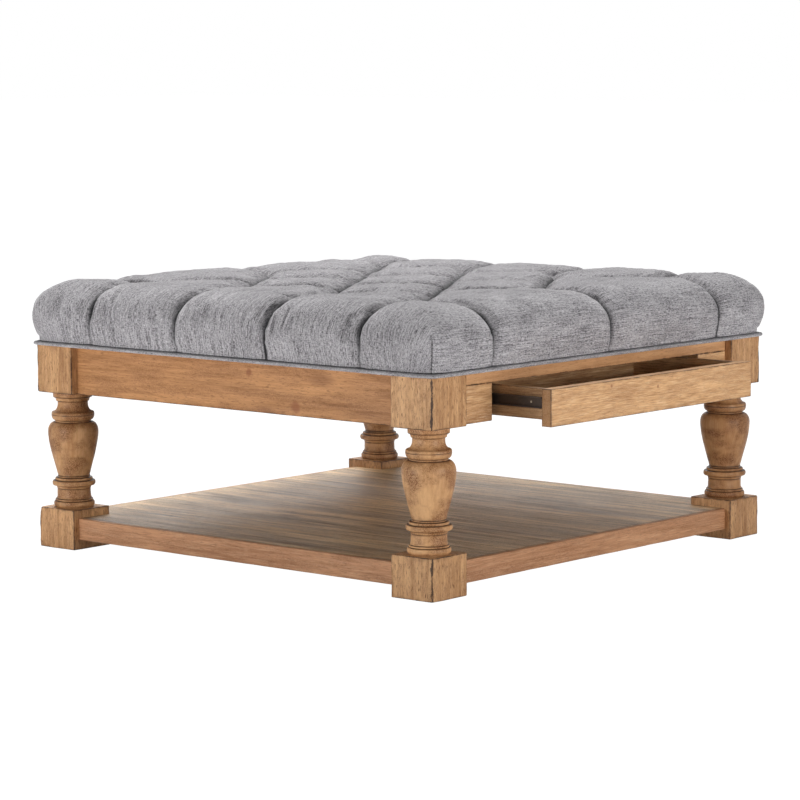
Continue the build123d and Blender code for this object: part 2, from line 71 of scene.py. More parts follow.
towards = Vector((
    math.sin(azimuth) * math.cos(elevation),
    -math.cos(azimuth) * math.cos(elevation),
    math.sin(elevation),
))
camera.location = aim + towards * camera_distance
camera.rotation_mode = "QUATERNION"
camera.rotation_quaternion = (-towards).to_track_quat("-Z", "Y") @ Quaternion((0, 0, 1), camera_tilt)
print("camera at", [round(value, 2) for value in camera.location])

# %% [markdown]
# Every finish, and the white of the studio, is built from shader nodes. A small helper places nodes
# and joins them, so that each group or material below reads as a recipe. Colours are picked as they
# look on a screen and turned into the linear values that the shaders work in.

# %% Helpers for shader nodes
def linear(red, green, blue):
    """A colour as seen on screen, 0 to 255, in the linear values that shaders use."""
    out = []
    for value in (red / 255, green / 255, blue / 255):
        out.append(value / 12.92 if value <= 0.04045 else ((value + 0.055) / 1.055) ** 2.4)
    return (*out, 1.0)


class Recipe:
    """Adds nodes to one tree. What a node is given is a plain value or another node's output."""

    def __init__(self, tree):
        self.tree = tree

    def give(self, node, inputs):
        for key, value in inputs.items():
            if isinstance(value, bpy.types.NodeSocket):
                self.tree.links.new(value, node.inputs[key])
            else:
                node.inputs[key].default_value = value

    def add(self, kind, inputs=None, **settings):
        node = self.tree.nodes.new(kind)
        for name, value in settings.items():
            setattr(node, name, value)
        self.give(node, inputs or {})
        return node

    def field(self, name, output="Fac"):
        """Values that the mesh carries on its points."""
        return self.add("ShaderNodeAttribute", attribute_name=name).outputs[output]

    def own_place(self):
        """The place in the object's own coordinates."""
        return self.add("ShaderNodeTexCoord").outputs["Object"]

    def scaled(self, place, scale):
        return self.add("ShaderNodeVectorMath", {0: place, 1: scale}, operation="MULTIPLY").outputs[0]

    def noise(self, place, scale, detail=2.0, roughness=0.5, distortion=0.0):
        """Random values that change about as many times in a metre as scale says for each axis."""
        values = {"Vector": self.scaled(place, scale), "Scale": 1.0, "Detail": detail}
        values.update({"Roughness": roughness, "Distortion": distortion})
        return self.add("ShaderNodeTexNoise", values).outputs["Fac"]

    def ramp(self, value, low, high, to_low=0.0, to_high=1.0):
        """The part of a value between low and high, spread from to_low to to_high."""
        limits = {"Value": value, "From Min": low, "From Max": high}
        limits.update({"To Min": to_low, "To Max": to_high})
        spread = self.add("ShaderNodeMapRange", limits, interpolation_type="SMOOTHSTEP")
        return spread.outputs["Result"]

    def math(self, operation, first, second, clamp=False):
        values = {0: first, 1: second}
        return self.add("ShaderNodeMath", values, operation=operation, use_clamp=clamp).outputs[0]

    def times(self, first, second):
        return self.math("MULTIPLY", first, second)

    def plus(self, first, second):
        return self.math("ADD", first, second)

    def minus(self, first, second):
        return self.math("SUBTRACT", first, second)

    def largest(self, first, second):
        return self.math("MAXIMUM", first, second)

    def mix(self, factor, first, second, blend="MIX"):
        values = {0: factor, 6: first, 7: second}
        return self.add("ShaderNodeMix", values, data_type="RGBA", blend_type=blend).outputs[2]

    def relief(self, height, strength, distance):
        values = {"Height": height, "Strength": strength, "Distance": distance}
        return self.add("ShaderNodeBump", values).outputs["Normal"]


def new_group(name, inputs, outputs):
    """An empty node group with named sockets, each given as name and kind or name, kind and value."""
    group = bpy.data.node_groups.new(name, "ShaderNodeTree")
    kinds = {"colour": "NodeSocketColor", "value": "NodeSocketFloat", "vector": "NodeSocketVector"}
    for label, kind, *value in inputs:
        socket = group.interface.new_socket(label, in_out="INPUT", socket_type=kinds[kind])
        if value:
            socket.default_value = value[0]
    for label, kind in outputs:
        group.interface.new_socket(label, in_out="OUTPUT", socket_type=kinds[kind])
    start = group.nodes.new("NodeGroupInput")
    return group, start.outputs, group.nodes.new("NodeGroupOutput"), Recipe(group)


def new_material(name):
    """A material, the recipe for its nodes, and its shader."""
    material = bpy.data.materials.new(name)
    material.use_nodes = True
    return material, Recipe(material.node_tree), material.node_tree.nodes["Principled BSDF"]


# %% [markdown]
# Studio light. Two wide, flat lamps stand low, one before each side that the camera sees, and reach
# in over the shelf. A large lamp hangs high over the table, and a weaker one stands high behind it.
# The floor and the world are plain white to the camera and in reflections, as in a photograph cut
# out on white, but the light that they throw on the table is the modest light of a dim, pale room.

# %% Lamps and world
lamps = {
    "left_lamp": ((-2.7, 0.5, 0.45), 1.3, 0.5, 33),
    "right_lamp": ((-0.25, -2.9, 0.55), 1.3, 0.5, 42),
    "top_lamp": ((0.6, 1.2, 3.3), 1.6, 1.6, 116),
    "back_lamp": ((2.6, 2.9, 2.6), 1.6, 1.6, 34),
}
for name, (place, width, height, power) in lamps.items():
    data = bpy.data.lights.new(name, "AREA")
    data.shape = "RECTANGLE"
    data.size = width
    data.size_y = height
    data.energy = power
    lamp = bpy.data.objects.new(name, data)
    lamp.location = place
    lamp.rotation_mode = "QUATERNION"
    lamp.rotation_quaternion = (aim - Vector(place)).to_track_quat("-Z", "Y")
    bpy.context.scene.collection.objects.link(lamp)

world = bpy.data.worlds.new("world")
bpy.context.scene.world = world
world.use_nodes = True
world.node_tree.nodes.clear()
white = (1.0, 1.0, 1.0, 1.0)
seen_strength, ambient_strength = 1.0, 0.01


def camera_sees(make):
    """1 where the camera, a reflection or a clear material looks straight at the surface."""
    path = make.add("ShaderNodeLightPath").outputs
    straight_at = make.largest(path["Is Camera Ray"], path["Is Glossy Ray"])
    return make.largest(straight_at, path["Is Transmission Ray"])


make = Recipe(world.node_tree)
seen = make.add("ShaderNodeBackground", {"Color": white, "Strength": seen_strength})
ambient = make.add("ShaderNodeBackground", {"Color": white, "Strength": ambient_strength})
backdrop = {0: camera_sees(make), 1: ambient.outputs[0], 2: seen.outputs[0]}
backdrop = make.add("ShaderNodeMixShader", backdrop)
make.add("ShaderNodeOutputWorld", {"Surface": backdrop.outputs[0]})
bpy.context.scene.view_settings.view_transform = "Standard"
print("lamps:", list(lamps))

# %% Floor
floor_half = 30.0
floor_white = 0.86
floor_veil = 0.90
floor_glow = 1.13

floor_mesh = bpy.data.meshes.new("floor")
floor_corners = [(-floor_half, -floor_half, 0), (floor_half, -floor_half, 0)]
floor_corners += [(floor_half, floor_half, 0), (-floor_half, floor_half, 0)]
floor_mesh.from_pydata(floor_corners, [], [(0, 1, 2, 3)])
floor = bpy.data.objects.new("floor", floor_mesh)
bpy.context.scene.collection.objects.link(floor)

floor_material = bpy.data.materials.new("studio_floor")
floor_material.use_nodes = True
floor_material.node_tree.nodes.clear()
make = Recipe(floor_material.node_tree)
paint = make.add("ShaderNodeBsdfDiffuse", {"Color": (floor_white, floor_white, floor_white, 1)})
glow = make.add("ShaderNodeEmission", {"Color": white, "Strength": floor_glow})
veil = {0: make.times(camera_sees(make), floor_veil), 1: paint.outputs[0], 2: glow.outputs[0]}
veil = make.add("ShaderNodeMixShader", veil)
make.add("ShaderNodeOutputMaterial", {"Surface": veil.outputs[0]})
floor_mesh.materials.append(floor_material)
print("floor:", floor_half * 2, "m square")

# %% [markdown]
# Brushed timber. A wire brush takes the soft wood out between the hard lines of the grain, so the
# real boards carry long raised streaks, short dark pores and, where the stain was wiped thin, pale
# ones. One group makes all of it from a place measured along, across and through the board.

# %% Group: timber grain
def timber_grain_group():
    inputs = [("Place", "vector"), ("Light", "colour", linear(206, 168, 126))]
    inputs += [("Dark", "colour", linear(140, 98, 60)), ("Pale", "colour", linear(222, 200, 172))]
    inputs += [("Figure", "value", 0.5), ("Pores", "value", 0.5), ("Wiped", "value", 0.2)]
    inputs += [("Shortness", "value", 1.0)]
    outputs = [("Colour", "colour"), ("Height", "value"), ("Rough", "value")]
    group, given, result, make = new_group("timber_grain", inputs, outputs)
    place = given["Place"]
    clouds = make.noise(place, (2.2, 9, 9), detail=3, roughness=0.55, distortion=0.5)
    figure = make.noise(place, (3.4, 46, 46), detail=4, roughness=0.6, distortion=0.9)
    streaks = make.noise(place, (9, 210, 210), detail=4, roughness=0.62)
    stroke = make.add("ShaderNodeCombineXYZ", {0: make.times(given["Shortness"], 27), 1: 560, 2: 560})
    brushed = make.noise(place, stroke.outputs[0], detail=3, roughness=0.6)
    pores = make.noise(place, (84, 640, 640), detail=2, roughness=0.55)
    spots = make.add("ShaderNodeTexVoronoi", {"Vector": make.scaled(place, (3.1, 8, 8)), "Scale": 1.0})
    knot = make.ramp(spots.outputs["Distance"], 0.13, 0.02)

    tone = make.plus(make.times(clouds, 0.62), make.times(streaks, 0.50))
    tone = make.plus(tone, make.times(make.minus(figure, 0.5), given["Figure"]))
    tone = make.ramp(tone, 0.22, 0.80)
    colour = make.mix(tone, given["Dark"], given["Light"])
    wiped = make.times(make.ramp(brushed, 0.50, 0.66), given["Wiped"])
    colour = make.mix(wiped, colour, given["Pale"])
    stained = make.times(make.ramp(brushed, 0.48, 0.33), given["Wiped"])
    colour = make.mix(stained, colour, make.mix(0.25, given["Dark"], linear(70, 44, 26)))
    pore = make.times(make.ramp(pores, 0.56, 0.69), given["Pores"])
    colour = make.mix(pore, colour, make.mix(0.45, given["Dark"], linear(58, 36, 20)))
    colour = make.mix(make.times(knot, 0.55), colour, linear(118, 72, 42))

    height = make.minus(make.plus(streaks, brushed), make.times(pore, 0.8))
    rough = make.ramp(streaks, 0.3, 0.7, 0.62, 0.46)
    make.give(result, {"Colour": colour, "Height": height, "Rough": rough})
    return group


timber_grain = timber_grain_group()
print("group:", timber_grain.name)

# %% [markdown]
# Worn edges. The maker rubbed a dark glaze into every arris and turned groove and broke the outer
# corners with a rasp. The meshes carry two attributes for this: "rim", the distance to the nearest
# edge in metres, and "hollow", which is 1 in the bottom of a groove. A third, "rasp", is 1 on an
# outer corner that is broken with a rasp, and falls to 0 a few millimetres away from it.

# %% Group: worn edges
def worn_edge_group():
    inputs = [("Rim", "value"), ("Hollow", "value"), ("Rasp", "value"), ("Place", "vector")]
    inputs += [("Width", "value", 0.0012)]
    outputs = [("Line", "value"), ("Glaze", "value")]
    group, given, result, make = new_group("worn_edges", inputs, outputs)
    rim, in_groove, on_corner = given["Rim"], given["Hollow"], given["Rasp"]
    broken = make.noise(given["Place"], (46, 46, 46), detail=3, roughness=0.7)
    reach = make.times(given["Width"], make.ramp(broken, 0.34, 0.68, 0.25, 1.7))
    near = make.math("DIVIDE", rim, reach)
    arris = make.ramp(near, 1.25, 0.55)
    hollow = make.times(in_groove, make.ramp(broken, 0.28, 0.6, 0.75, 1.3))
    hollow = make.ramp(hollow, 0.42, 0.85)
    strokes = make.noise(given["Place"], (210, 210, 58), detail=3, roughness=0.65)
    reached = make.plus(on_corner, make.times(make.minus(strokes, 0.5), 2.6))
    rasped = make.times(make.ramp(reached, 0.58, 0.84), make.ramp(on_corner, 0.02, 0.25))
    line = make.largest(make.largest(arris, hollow), rasped)
    wide = make.ramp(make.math("DIVIDE", rim, make.times(reach, 5.0)), 1.0, 0.0)
    glaze = make.largest(wide, make.ramp(in_groove, 0.02, 0.6))
    make.give(result, {"Line": line, "Glaze": glaze})
    return group


worn_edges = worn_edge_group()
print("group:", worn_edges.name)

# %% [markdown]
# A timber material reads the mesh's own "grain" attribute for its place, so one material serves
# boards that lie any way. Nodes that come ready made from the frame have no such attribute, and
# theirs is read from the object's coordinates, turned so that the grain runs along the piece.
# Three marks lie over the grain: a mottle of fine specks in soft patches, where the stain soaked in
# deeper, a few knots at set spots on the boards, and painted shade, an attribute that darkens a
# whole part which stands in the table's shade.

# %% Timber materials
# Painted shade: parts in the table's shade are multiplied towards this brown.
painted_shade_colour = (0.42, 0.34, 0.28, 1.0)
knot_colour = linear(126, 66, 36)
glaze_colour, line_colour = linear(92, 58, 32), linear(44, 28, 18)


def place_along(make, axis):
    """Coordinates of a ready made node, turned so that the first one runs along the grain."""
    parts = make.add("ShaderNodeSeparateXYZ", {0: make.own_place()})
    order = {"x": "XYZ", "y": "YXZ", "z": "ZXY"}[axis]
    values = {index: parts.outputs[letter] for index, letter in enumerate(order)}
    return make.add("ShaderNodeCombineXYZ", values).outputs[0]


def mottled(make, colour, place, patch, patch_colour, mottle):
    specks = make.noise(place, (520, 620, 620), detail=2, roughness=0.6)
    specks = make.ramp(specks, 0.36, 0.66, 0.35, 1.0)
    patches = make.ramp(make.noise(place, patch, detail=3, roughness=0.6), 0.37, 0.62)
    return make.mix(make.times(make.times(specks, patches), mottle), colour, linear(*patch_colour))


def knotted(make, colour, spot, size):
    where = make.own_place()
    off = make.add("ShaderNodeVectorMath", {0: where, 1: spot}, operation="DISTANCE").outputs["Value"]
    off = make.times(off, make.plus(make.noise(where, (90, 90, 90), detail=2), 0.5))
    return make.mix(make.ramp(off, size, 0.35 * size, 0.0, 0.62), colour, knot_colour)


def edged(make, colour, dark, width, glaze, line):
    """Darker end grain, glaze near the edges and dark broken lines on them."""
    values = {label: make.field(label.lower()) for label in ("Rim", "Hollow", "Rasp")}
    values.update({"Place": make.own_place(), "Width": width})
    edges = make.add("ShaderNodeGroup", values, node_tree=worn_edges)
    colour = make.mix(make.times(make.field("end_grain"), 0.55), colour, dark)
    glazed = make.mix(0.5, dark, glaze_colour)
    colour = make.mix(make.times(edges.outputs["Glaze"], glaze), colour, glazed)
    return make.mix(make.times(edges.outputs["Line"], line), colour, line_colour)


def timber(name, light, dark, pale, figure=0.5, pores=0.5, wiped=0.2, short=1.0, line=0.85,
           width=0.0012, glaze=0.35, bump=0.35, rough=0.0, specular=0.32, axis=None, mottle=0.0,
           patch=(26, 19, 19), patch_colour=(116, 70, 38), knots=()):
    material, make, shader = new_material(name)
    light, dark, pale = linear(*light), linear(*dark), linear(*pale)
    place = place_along(make, axis) if axis else make.field("grain", "Vector")
    values = {"Place": place, "Light": light, "Dark": dark, "Pale": pale, "Figure": figure}
    values.update({"Pores": pores, "Wiped": wiped, "Shortness": short})
    grain = make.add("ShaderNodeGroup", values, node_tree=timber_grain)
    colour = grain.outputs["Colour"]
    if mottle:
        colour = mottled(make, colour, place, patch, patch_colour, mottle)
    for spot, size in knots:
        colour = knotted(make, colour, spot, size)
    if not axis:
        colour = edged(make, colour, dark, width, glaze, line)
    # Painted shade: darkens the parts that stand in the table's shade.
    colour = make.mix(make.field("painted_shade"), colour, painted_shade_colour, blend="MULTIPLY")
    make.give(shader, {
        "Base Color": colour,
        "Roughness": make.plus(grain.outputs["Rough"], rough),
        "Normal": make.relief(grain.outputs["Height"], bump, 0.0006),
        "Specular IOR Level": specular,
    })
    return material


apron_knots = [((-0.455, -0.046, 0.352), 0.010), ((-0.455, -0.154, 0.3), 0.015)]
front_knots = [((-0.124, -0.576, 0.336), 0.004), ((0.008, -0.576, 0.324), 0.004)]
block_timber = timber(
    "block_timber", (220, 173, 124), (146, 100, 58), (222, 184, 138), figure=0.60, pores=1.0,
    wiped=0.24, short=2.4, line=0.92, width=0.0011, glaze=0.45, bump=0.6, mottle=0.40,
    patch=(30, 85, 85))
turned_timber = timber(
    "turned_timber", (218, 172, 124), (172, 122, 76), (214, 174, 130), figure=0.22, pores=0.16,
    wiped=0.10, line=0.85, glaze=0.60, bump=0.12, rough=-0.02, specular=0.26, mottle=1.0)
apron_timber = timber(
    "apron_timber", (200, 145, 94), (126, 80, 42), (204, 152, 104), figure=0.62, pores=0.50,
    wiped=0.20, width=0.0010, mottle=0.55, patch=(7, 38, 38), knots=apron_knots)
front_timber = timber(
    "front_timber", (216, 170, 122), (156, 110, 68), (232, 200, 160), figure=0.50, pores=0.30,
    wiped=0.50, short=1.2, width=0.0010, bump=0.8, mottle=0.34, patch=(12, 50, 50),
    knots=front_knots)
shelf_timber = timber(
    "shelf_timber", (236, 200, 150), (112, 80, 50), (234, 206, 166), figure=1.1, pores=0.7,
    wiped=0.60, short=0.34, line=0.35, width=0.0009, glaze=0.05, bump=0.6, rough=-0.02,
    specular=0.62, mottle=0.72, patch=(2.4, 26, 26), patch_colour=(92, 68, 46))
rail_timber = timber(
    "rail_timber", (204, 152, 112), (148, 100, 66), (222, 184, 148), figure=0.60, pores=0.45,
    wiped=0.34, short=0.8, line=0.22, width=0.0010, glaze=0.12, mottle=0.42, patch=(9, 45, 45))
top_rail_timber = timber(
    "top_rail_timber", (204, 156, 110), (160, 112, 72), (216, 174, 132), figure=0.50,
    pores=0.40, wiped=0.2, width=0.0010, mottle=0.3, patch=(9, 45, 45))
inner_timber = timber(
    "inner_timber", (214, 172, 126), (140, 100, 64), (232, 200, 160), figure=0.7, pores=0.4,
    wiped=0.5, short=0.6, line=0.6, width=0.0008, mottle=0.4, patch=(10, 40, 40))
print("timber materials:", [item.name for item in bpy.data.materials if item.name.endswith("timber")])

# %% [markdown]
# A board could be a cube with a bevel, but a bevel is the same all along. Here each board is a
# lattice of points on the surface of a box. Every point is pushed onto rounded edges whose radius
# wanders along the board, so the arrises look planed by hand, and the same numbers give the
# attributes that the edge wear reads.

# %% Building boards
random = np.random.default_rng(1887)
grain_spread = 9.0


def ripple(points, wavelength, seed, waves=7):
    """Smooth wandering values between about -1 and 1 at points in space."""
    chance = np.random.default_rng(seed)
    total = np.zeros(len(points))
    for _ in range(waves):
        direction = chance.normal(size=3)
        direction /= np.linalg.norm(direction)
        length = wavelength * chance.uniform(0.6, 1.7)
        total += np.sin(points @ direction * (2 * math.pi / length) + chance.uniform(0, 2 * math.pi))
    return total / math.sqrt(waves * 1.6)


def stations(low, high, arris, step):
    """Places along one side of a board: close together at its edges and spread between them."""
    close = [0, 0.4 * arris, 0.9 * arris, 1.6 * arris, 3.2 * arris, 7 * arris]
    length = high - low
    close = [value for value in close if value < length * 0.4]
    inner = max(int((length - 2 * close[-1]) / step), 1)
    middle = np.linspace(close[-1], length - close[-1], inner + 1)[1:-1]
    return low + np.array([*close, *middle, *[length - value for value in reversed(close)]])


def quads_between(numbers):
    """Four-sided faces between the neighbours in a grid of point numbers."""
    corners = [numbers[:-1, :-1], numbers[1:, :-1], numbers[1:, 1:], numbers[:-1, 1:]]
    return np.stack(corners, axis=-1).reshape(-1, 4)


def lattice(axes):
    """Points and four-sided faces on a box's surface, from its stations along each axis."""
    counts = [len(axis) for axis in axes]
    index = -np.ones(counts, int)
    shell = np.zeros(counts, bool)
    for axis in range(3):
        ends = [slice(None)] * 3
        ends[axis] = [0, -1]
        shell[tuple(ends)] = True
    index[shell] = np.arange(shell.sum())
    where = np.argwhere(shell)
    points = np.stack([axes[axis][where[:, axis]] for axis in range(3)], axis=1)
    faces = []
    for axis in range(3):
        for end in (0, -1):
            quads = quads_between(np.take(index, end, axis=axis))
            outward = (end == -1) == (axis != 1)
            faces.append(quads if outward else quads[:, ::-1])
    return points, np.concatenate(faces)


wander_lengths = (0.05, 0.013)
least_arris, most_arris = 0.25, 2.4
rasp_length, rasp_reach, rasp_growth = 0.022, 0.0062, 1.4


def rounded_box(low, high, arris, wander, seed, step=0.014, rasped=None):
    """A box with wandering rounded edges: points, faces, distance to the nearest edge, and rasp.

    rasped is the plan corner, as signs in x and y, whose upright edge is broken with a rasp."""
    low, high = np.array(low, float), np.array(high, float)
    points, faces = lattice([stations(low[axis], high[axis], arris, step) for axis in range(3)])
    slow = ripple(points, wander_lengths[0], seed)
    quick = ripple(points, wander_lengths[1], seed + 1)
    radius = arris * (1 + wander * slow + 0.5 * wander * quick)
    radius = np.clip(radius, least_arris * arris, most_arris * arris)
    to_planes = np.sort(np.minimum(points - low, high - points), axis=1)
    rim = to_planes[:, 1]
    rasp = np.zeros(len(points))
    if rasped:
        corner = np.where(np.array(rasped) > 0, high[:2], low[:2])
        off = np.abs(points[:, :2] - corner).max(axis=1)
        rasp = np.clip(1 - off / rasp_reach, 0, 1)
        strokes = np.clip(0.5 + 0.6 * ripple(points, rasp_length, seed + 2), 0, 1)
        radius = radius * (1 + rasp_growth * strokes * np.exp(-off / rasp_reach))
    inner = np.clip(points, low + radius[:, None], high - radius[:, None])
    out = points - inner
    reach = np.linalg.norm(out, axis=1)
    pushed = inner + out * (radius / np.maximum(reach, 1e-9))[:, None]
    points = np.where((reach > radius)[:, None], pushed, points)
    return points, faces, rim, rasp


def piece(name, points, faces, attributes, material):
    """A smooth-shaded mesh object with attributes on its points."""
    mesh = bpy.data.meshes.new(name)
    mesh.from_pydata(points.tolist(), [], faces.tolist() if hasattr(faces, "tolist") else faces)
    for label, values in attributes.items():
        kind = "FLOAT_VECTOR" if values.ndim == 2 else "FLOAT"
        attribute = mesh.attributes.new(label, kind, "POINT")
        field = "vector" if values.ndim == 2 else "value"
        attribute.data.foreach_set(field, values.astype(np.float32).ravel())
    mesh.shade_smooth()
    mesh.materials.append(material)
    item = bpy.data.objects.new(name, mesh)
    bpy.context.scene.collection.objects.link(item)
    return item


def grain_place(points, along):
    """Board coordinates: along, across and through, shifted so that no two boards look the same."""
    order = {"x": [0, 1, 2], "y": [1, 0, 2], "z": [2, 0, 1]}[along]
    return points[:, order] + random.uniform(-grain_spread, grain_spread, 3)


def board(node, along, material, body="table", arris=0.0012, wander=0.45, trim=None,
          lowered=0.0):
    """A worn board in the place of one node. trim gives new ends, as an axis and its two values.

    lowered takes a little off the top."""
    low, high = (list(corner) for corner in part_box(node))
    high[2] -= lowered
    if trim:
        axis, start, end = trim
        low[axis], high[axis] = start, end
    seed = sum(map(ord, node))
    points, faces, rim, rasp = rounded_box(low, high, arris, wander, seed)
    axis = "xyz".index(along)
    to_end = np.minimum(points[:, axis] - low[axis], high[axis] - points[:, axis])
    end_grain = (to_end < 0.6 * arris).astype(float)
    attributes = {"grain": grain_place(points, along), "rim": rim, "end_grain": end_grain}
    made = piece(node + "_board", points, faces, attributes, material)
    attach(made, body)
    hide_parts(node)


# %% [markdown]
# The aprons and rails stop just inside the legs, where the real ones turn into tenons. The shelf
# rails have a rabbet that the planks lie in. Their meshes are plain boards, so they end half a
# millimetre below the planks' tops, or two faces would lie in one plane and draw a black line.

# %% Aprons, rails and shelf
leg_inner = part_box("leg_back_right")[0].x
into_leg = 0.004
under_planks = 0.0005
x_axis, y_axis = 0, 1

for side in ("left", "right"):
    span = (y_axis, -leg_inner - into_leg, leg_inner + into_leg)
    board(f"apron_{side}", "y", apron_timber, trim=span)
    board(f"shelf_rail_{side}", "y", rail_timber, arris=0.0016, trim=span,
          lowered=under_planks)
span = (x_axis, -leg_inner - into_leg, leg_inner + into_leg)
board("apron_back", "x", apron_timber, trim=span)
board("front_top_rail", "x", top_rail_timber, trim=span)
for end in ("front", "back"):
    board(f"shelf_rail_{end}", "x", rail_timber, arris=0.0016, trim=span,
          lowered=under_planks)
for side, sign in (("left", -1), ("right", 1)):
    low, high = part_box(f"front_stile_{side}")
    inner = high.x if sign < 0 else low.x
    ends = sorted((inner, sign * (leg_inner + into_leg)))
    board(f"front_stile_{side}", "x", front_timber, trim=(x_axis, *ends))
plank_count = sum(name.startswith("shelf_plank_") for name in nodes)
for number in range(1, plank_count + 1):
    board(f"shelf_plank_{number}", "y", shelf_timber, arris=0.0006, wander=0.6)

# %% Drawer
board("drawer_front", "x", front_timber, body="drawer", arris=0.0012)
for side in ("left", "right"):
    board(f"drawer_side_{side}", "y", inner_timber, body="drawer", arris=0.0010)
board("drawer_back", "x", inner_timber, body="drawer", arris=0.0010)
board("drawer_bottom", "y", inner_timber, body="drawer", arris=0.0004)

# %% [markdown]
# The legs are turned between two square blocks. On a lathe the shape is one outline spun about an
# axis, and it is made the same way here: a list of turnings, each with its own curve, gives heights
# and radii, in millimetres, and the outline is copied round in many small steps. The glaze settles
# in the grooves between the turnings. Painted shade darkens the legs that stand in the table's
# shade: the far left one's turned part a little, and the two on the right the most.

# %% Turned legs
mm = 0.001
foot_top = 72.85 * mm
block_low = 284.3 * mm
turned_steps = 112


def straight(low, high, start, end, count=3):
    share = np.linspace(0, 1, count)
    return np.stack([low + (high - low) * share, start + (end - start) * share], axis=1)


def ring(low, high, root, crest, count=15):
    """A bead, or a hollow where the crest is smaller than the root."""
    turn = np.linspace(0, math.pi, count)
    heights = low + (high - low) * (1 - np.cos(turn)) / 2
    return np.stack([heights, root + (crest - root) * np.sin(turn)], axis=1)


def quarter(low, high, start, end, count=12):
    """A shoulder that leaves upright at low and turns in towards high."""
    turn = np.linspace(0, math.pi / 2, count)
    heights = low + (high - low) * np.sin(turn)
    return np.stack([heights, end + (start - end) * np.cos(turn)], axis=1)


def cove(low, high, start, end, count=12):
    """A hollow that leaves level at low and comes upright at high."""
    turn = np.linspace(0, math.pi / 2, count)
    heights = high - (high - low) * np.cos(turn)
    return np.stack([heights, start - (start - end) * np.sin(turn)], axis=1)


def vase(low, crest, foot_radius, radius, count=22):
    """A belly that leaves its foot in a straight taper and comes upright at its widest."""
    share = np.linspace(0, 1, count)
    swell = 1.28 * share - 0.28 * share**4.2
    radii = foot_radius + (radius - foot_radius) * swell
    return np.stack([low + (crest - low) * share, radii], axis=1)


turnings = [
    straight(foot_top / mm - 4, foot_top / mm + 1.2, 33.6, 33.6, 4),
    ring(74.2, 84.2, 34.4, 37.1),
    ring(84.4, 88.2, 32.6, 34.3, 9),
    quarter(88.4, 91.5, 31.8, 30.6, 4),
    straight(92.0, 106.5, 30.5, 30.2, 6),
    cove(112.4, 107.0, 36.0, 30.6, 9)[::-1],
    ring(112.6, 121.9, 36.4, 39.2),
    ring(122.2, 127.3, 32.0, 34.0, 9),
    ring(127.5, 129.8, 29.4, 28.6, 5),
    vase(130.1, 211.0, 28.4, 45.8),
    quarter(211.5, 229.2, 45.8, 33.6, 18),
    straight(229.6, 232.2, 32.6, 32.8, 4),
    quarter(242.4, 232.8, 38.9, 33.6, 10)[::-1],
    quarter(242.8, 247.4, 38.9, 37.3, 8),
    cove(248.0, 261.8, 36.8, 27.6, 16),
    straight(262.2, 267.0, 27.5, 27.6, 3),
    cove(274.4, 267.8, 35.0, 30.2, 9)[::-1],
    straight(275.0, block_low / mm + 3, 35.2, 35.8, 5),
]
groove_heights = [73.2, 84.3, 88.4, 107.0, 112.4, 122.0, 127.4, 129.9]
groove_heights += [229.5, 232.5, 242.4, 267.4, 274.6]
groove_reach = 0.9 * mm
groove_dark = 0.76
wobbles = [(0.22 * mm, 0.030, 0), (0.10 * mm, 0.009, 4)]


def turned_shaft(axis, seed):
    """The shaft as rings of points about an upright axis, with its groove values."""
    outline = np.concatenate(turnings) * mm
    around = np.linspace(0, 2 * math.pi, turned_steps, endpoint=False)
    heights = np.repeat(outline[:, 0], turned_steps)
    radii = np.repeat(outline[:, 1], turned_steps)
    angles = np.tile(around, len(outline))
    outward = np.stack([np.cos(angles), np.sin(angles), 0 * angles], axis=1)
    points = outward * radii[:, None] + [*axis, 0]
    points[:, 2] = heights
    wobble = sum(size * ripple(points, spacing, seed + shift) for size, spacing, shift in wobbles)
    points += outward * wobble[:, None]
    hollow = np.zeros(len(points))
    for height in groove_heights:
        near = groove_dark * np.exp(-((heights - height * mm) / groove_reach) ** 2)
        hollow = np.maximum(hollow, near)
    grid = np.arange(len(points)).reshape(len(outline), turned_steps)
    faces = quads_between(np.pad(grid.T, ((0, 1), (0, 0)), mode="wrap")).tolist()
    faces += [grid[0, ::-1].tolist(), grid[-1].tolist()]
    return points, faces, hollow


# Painted shade for each leg: how much darker its blocks and its turned part are painted.
leg_painted_shade = {
    "leg_front_left": (0.0, 0.0),
    "leg_back_left": (0.0, 0.26),
    "leg_front_right": (0.05, 0.55),
    "leg_back_right": (0.45, 0.62),
}


block_arris, block_wander, block_step = 0.0015, 0.5, 0.010
upper_seed, shaft_seed = 40, 9
far_from_edge = 0.05


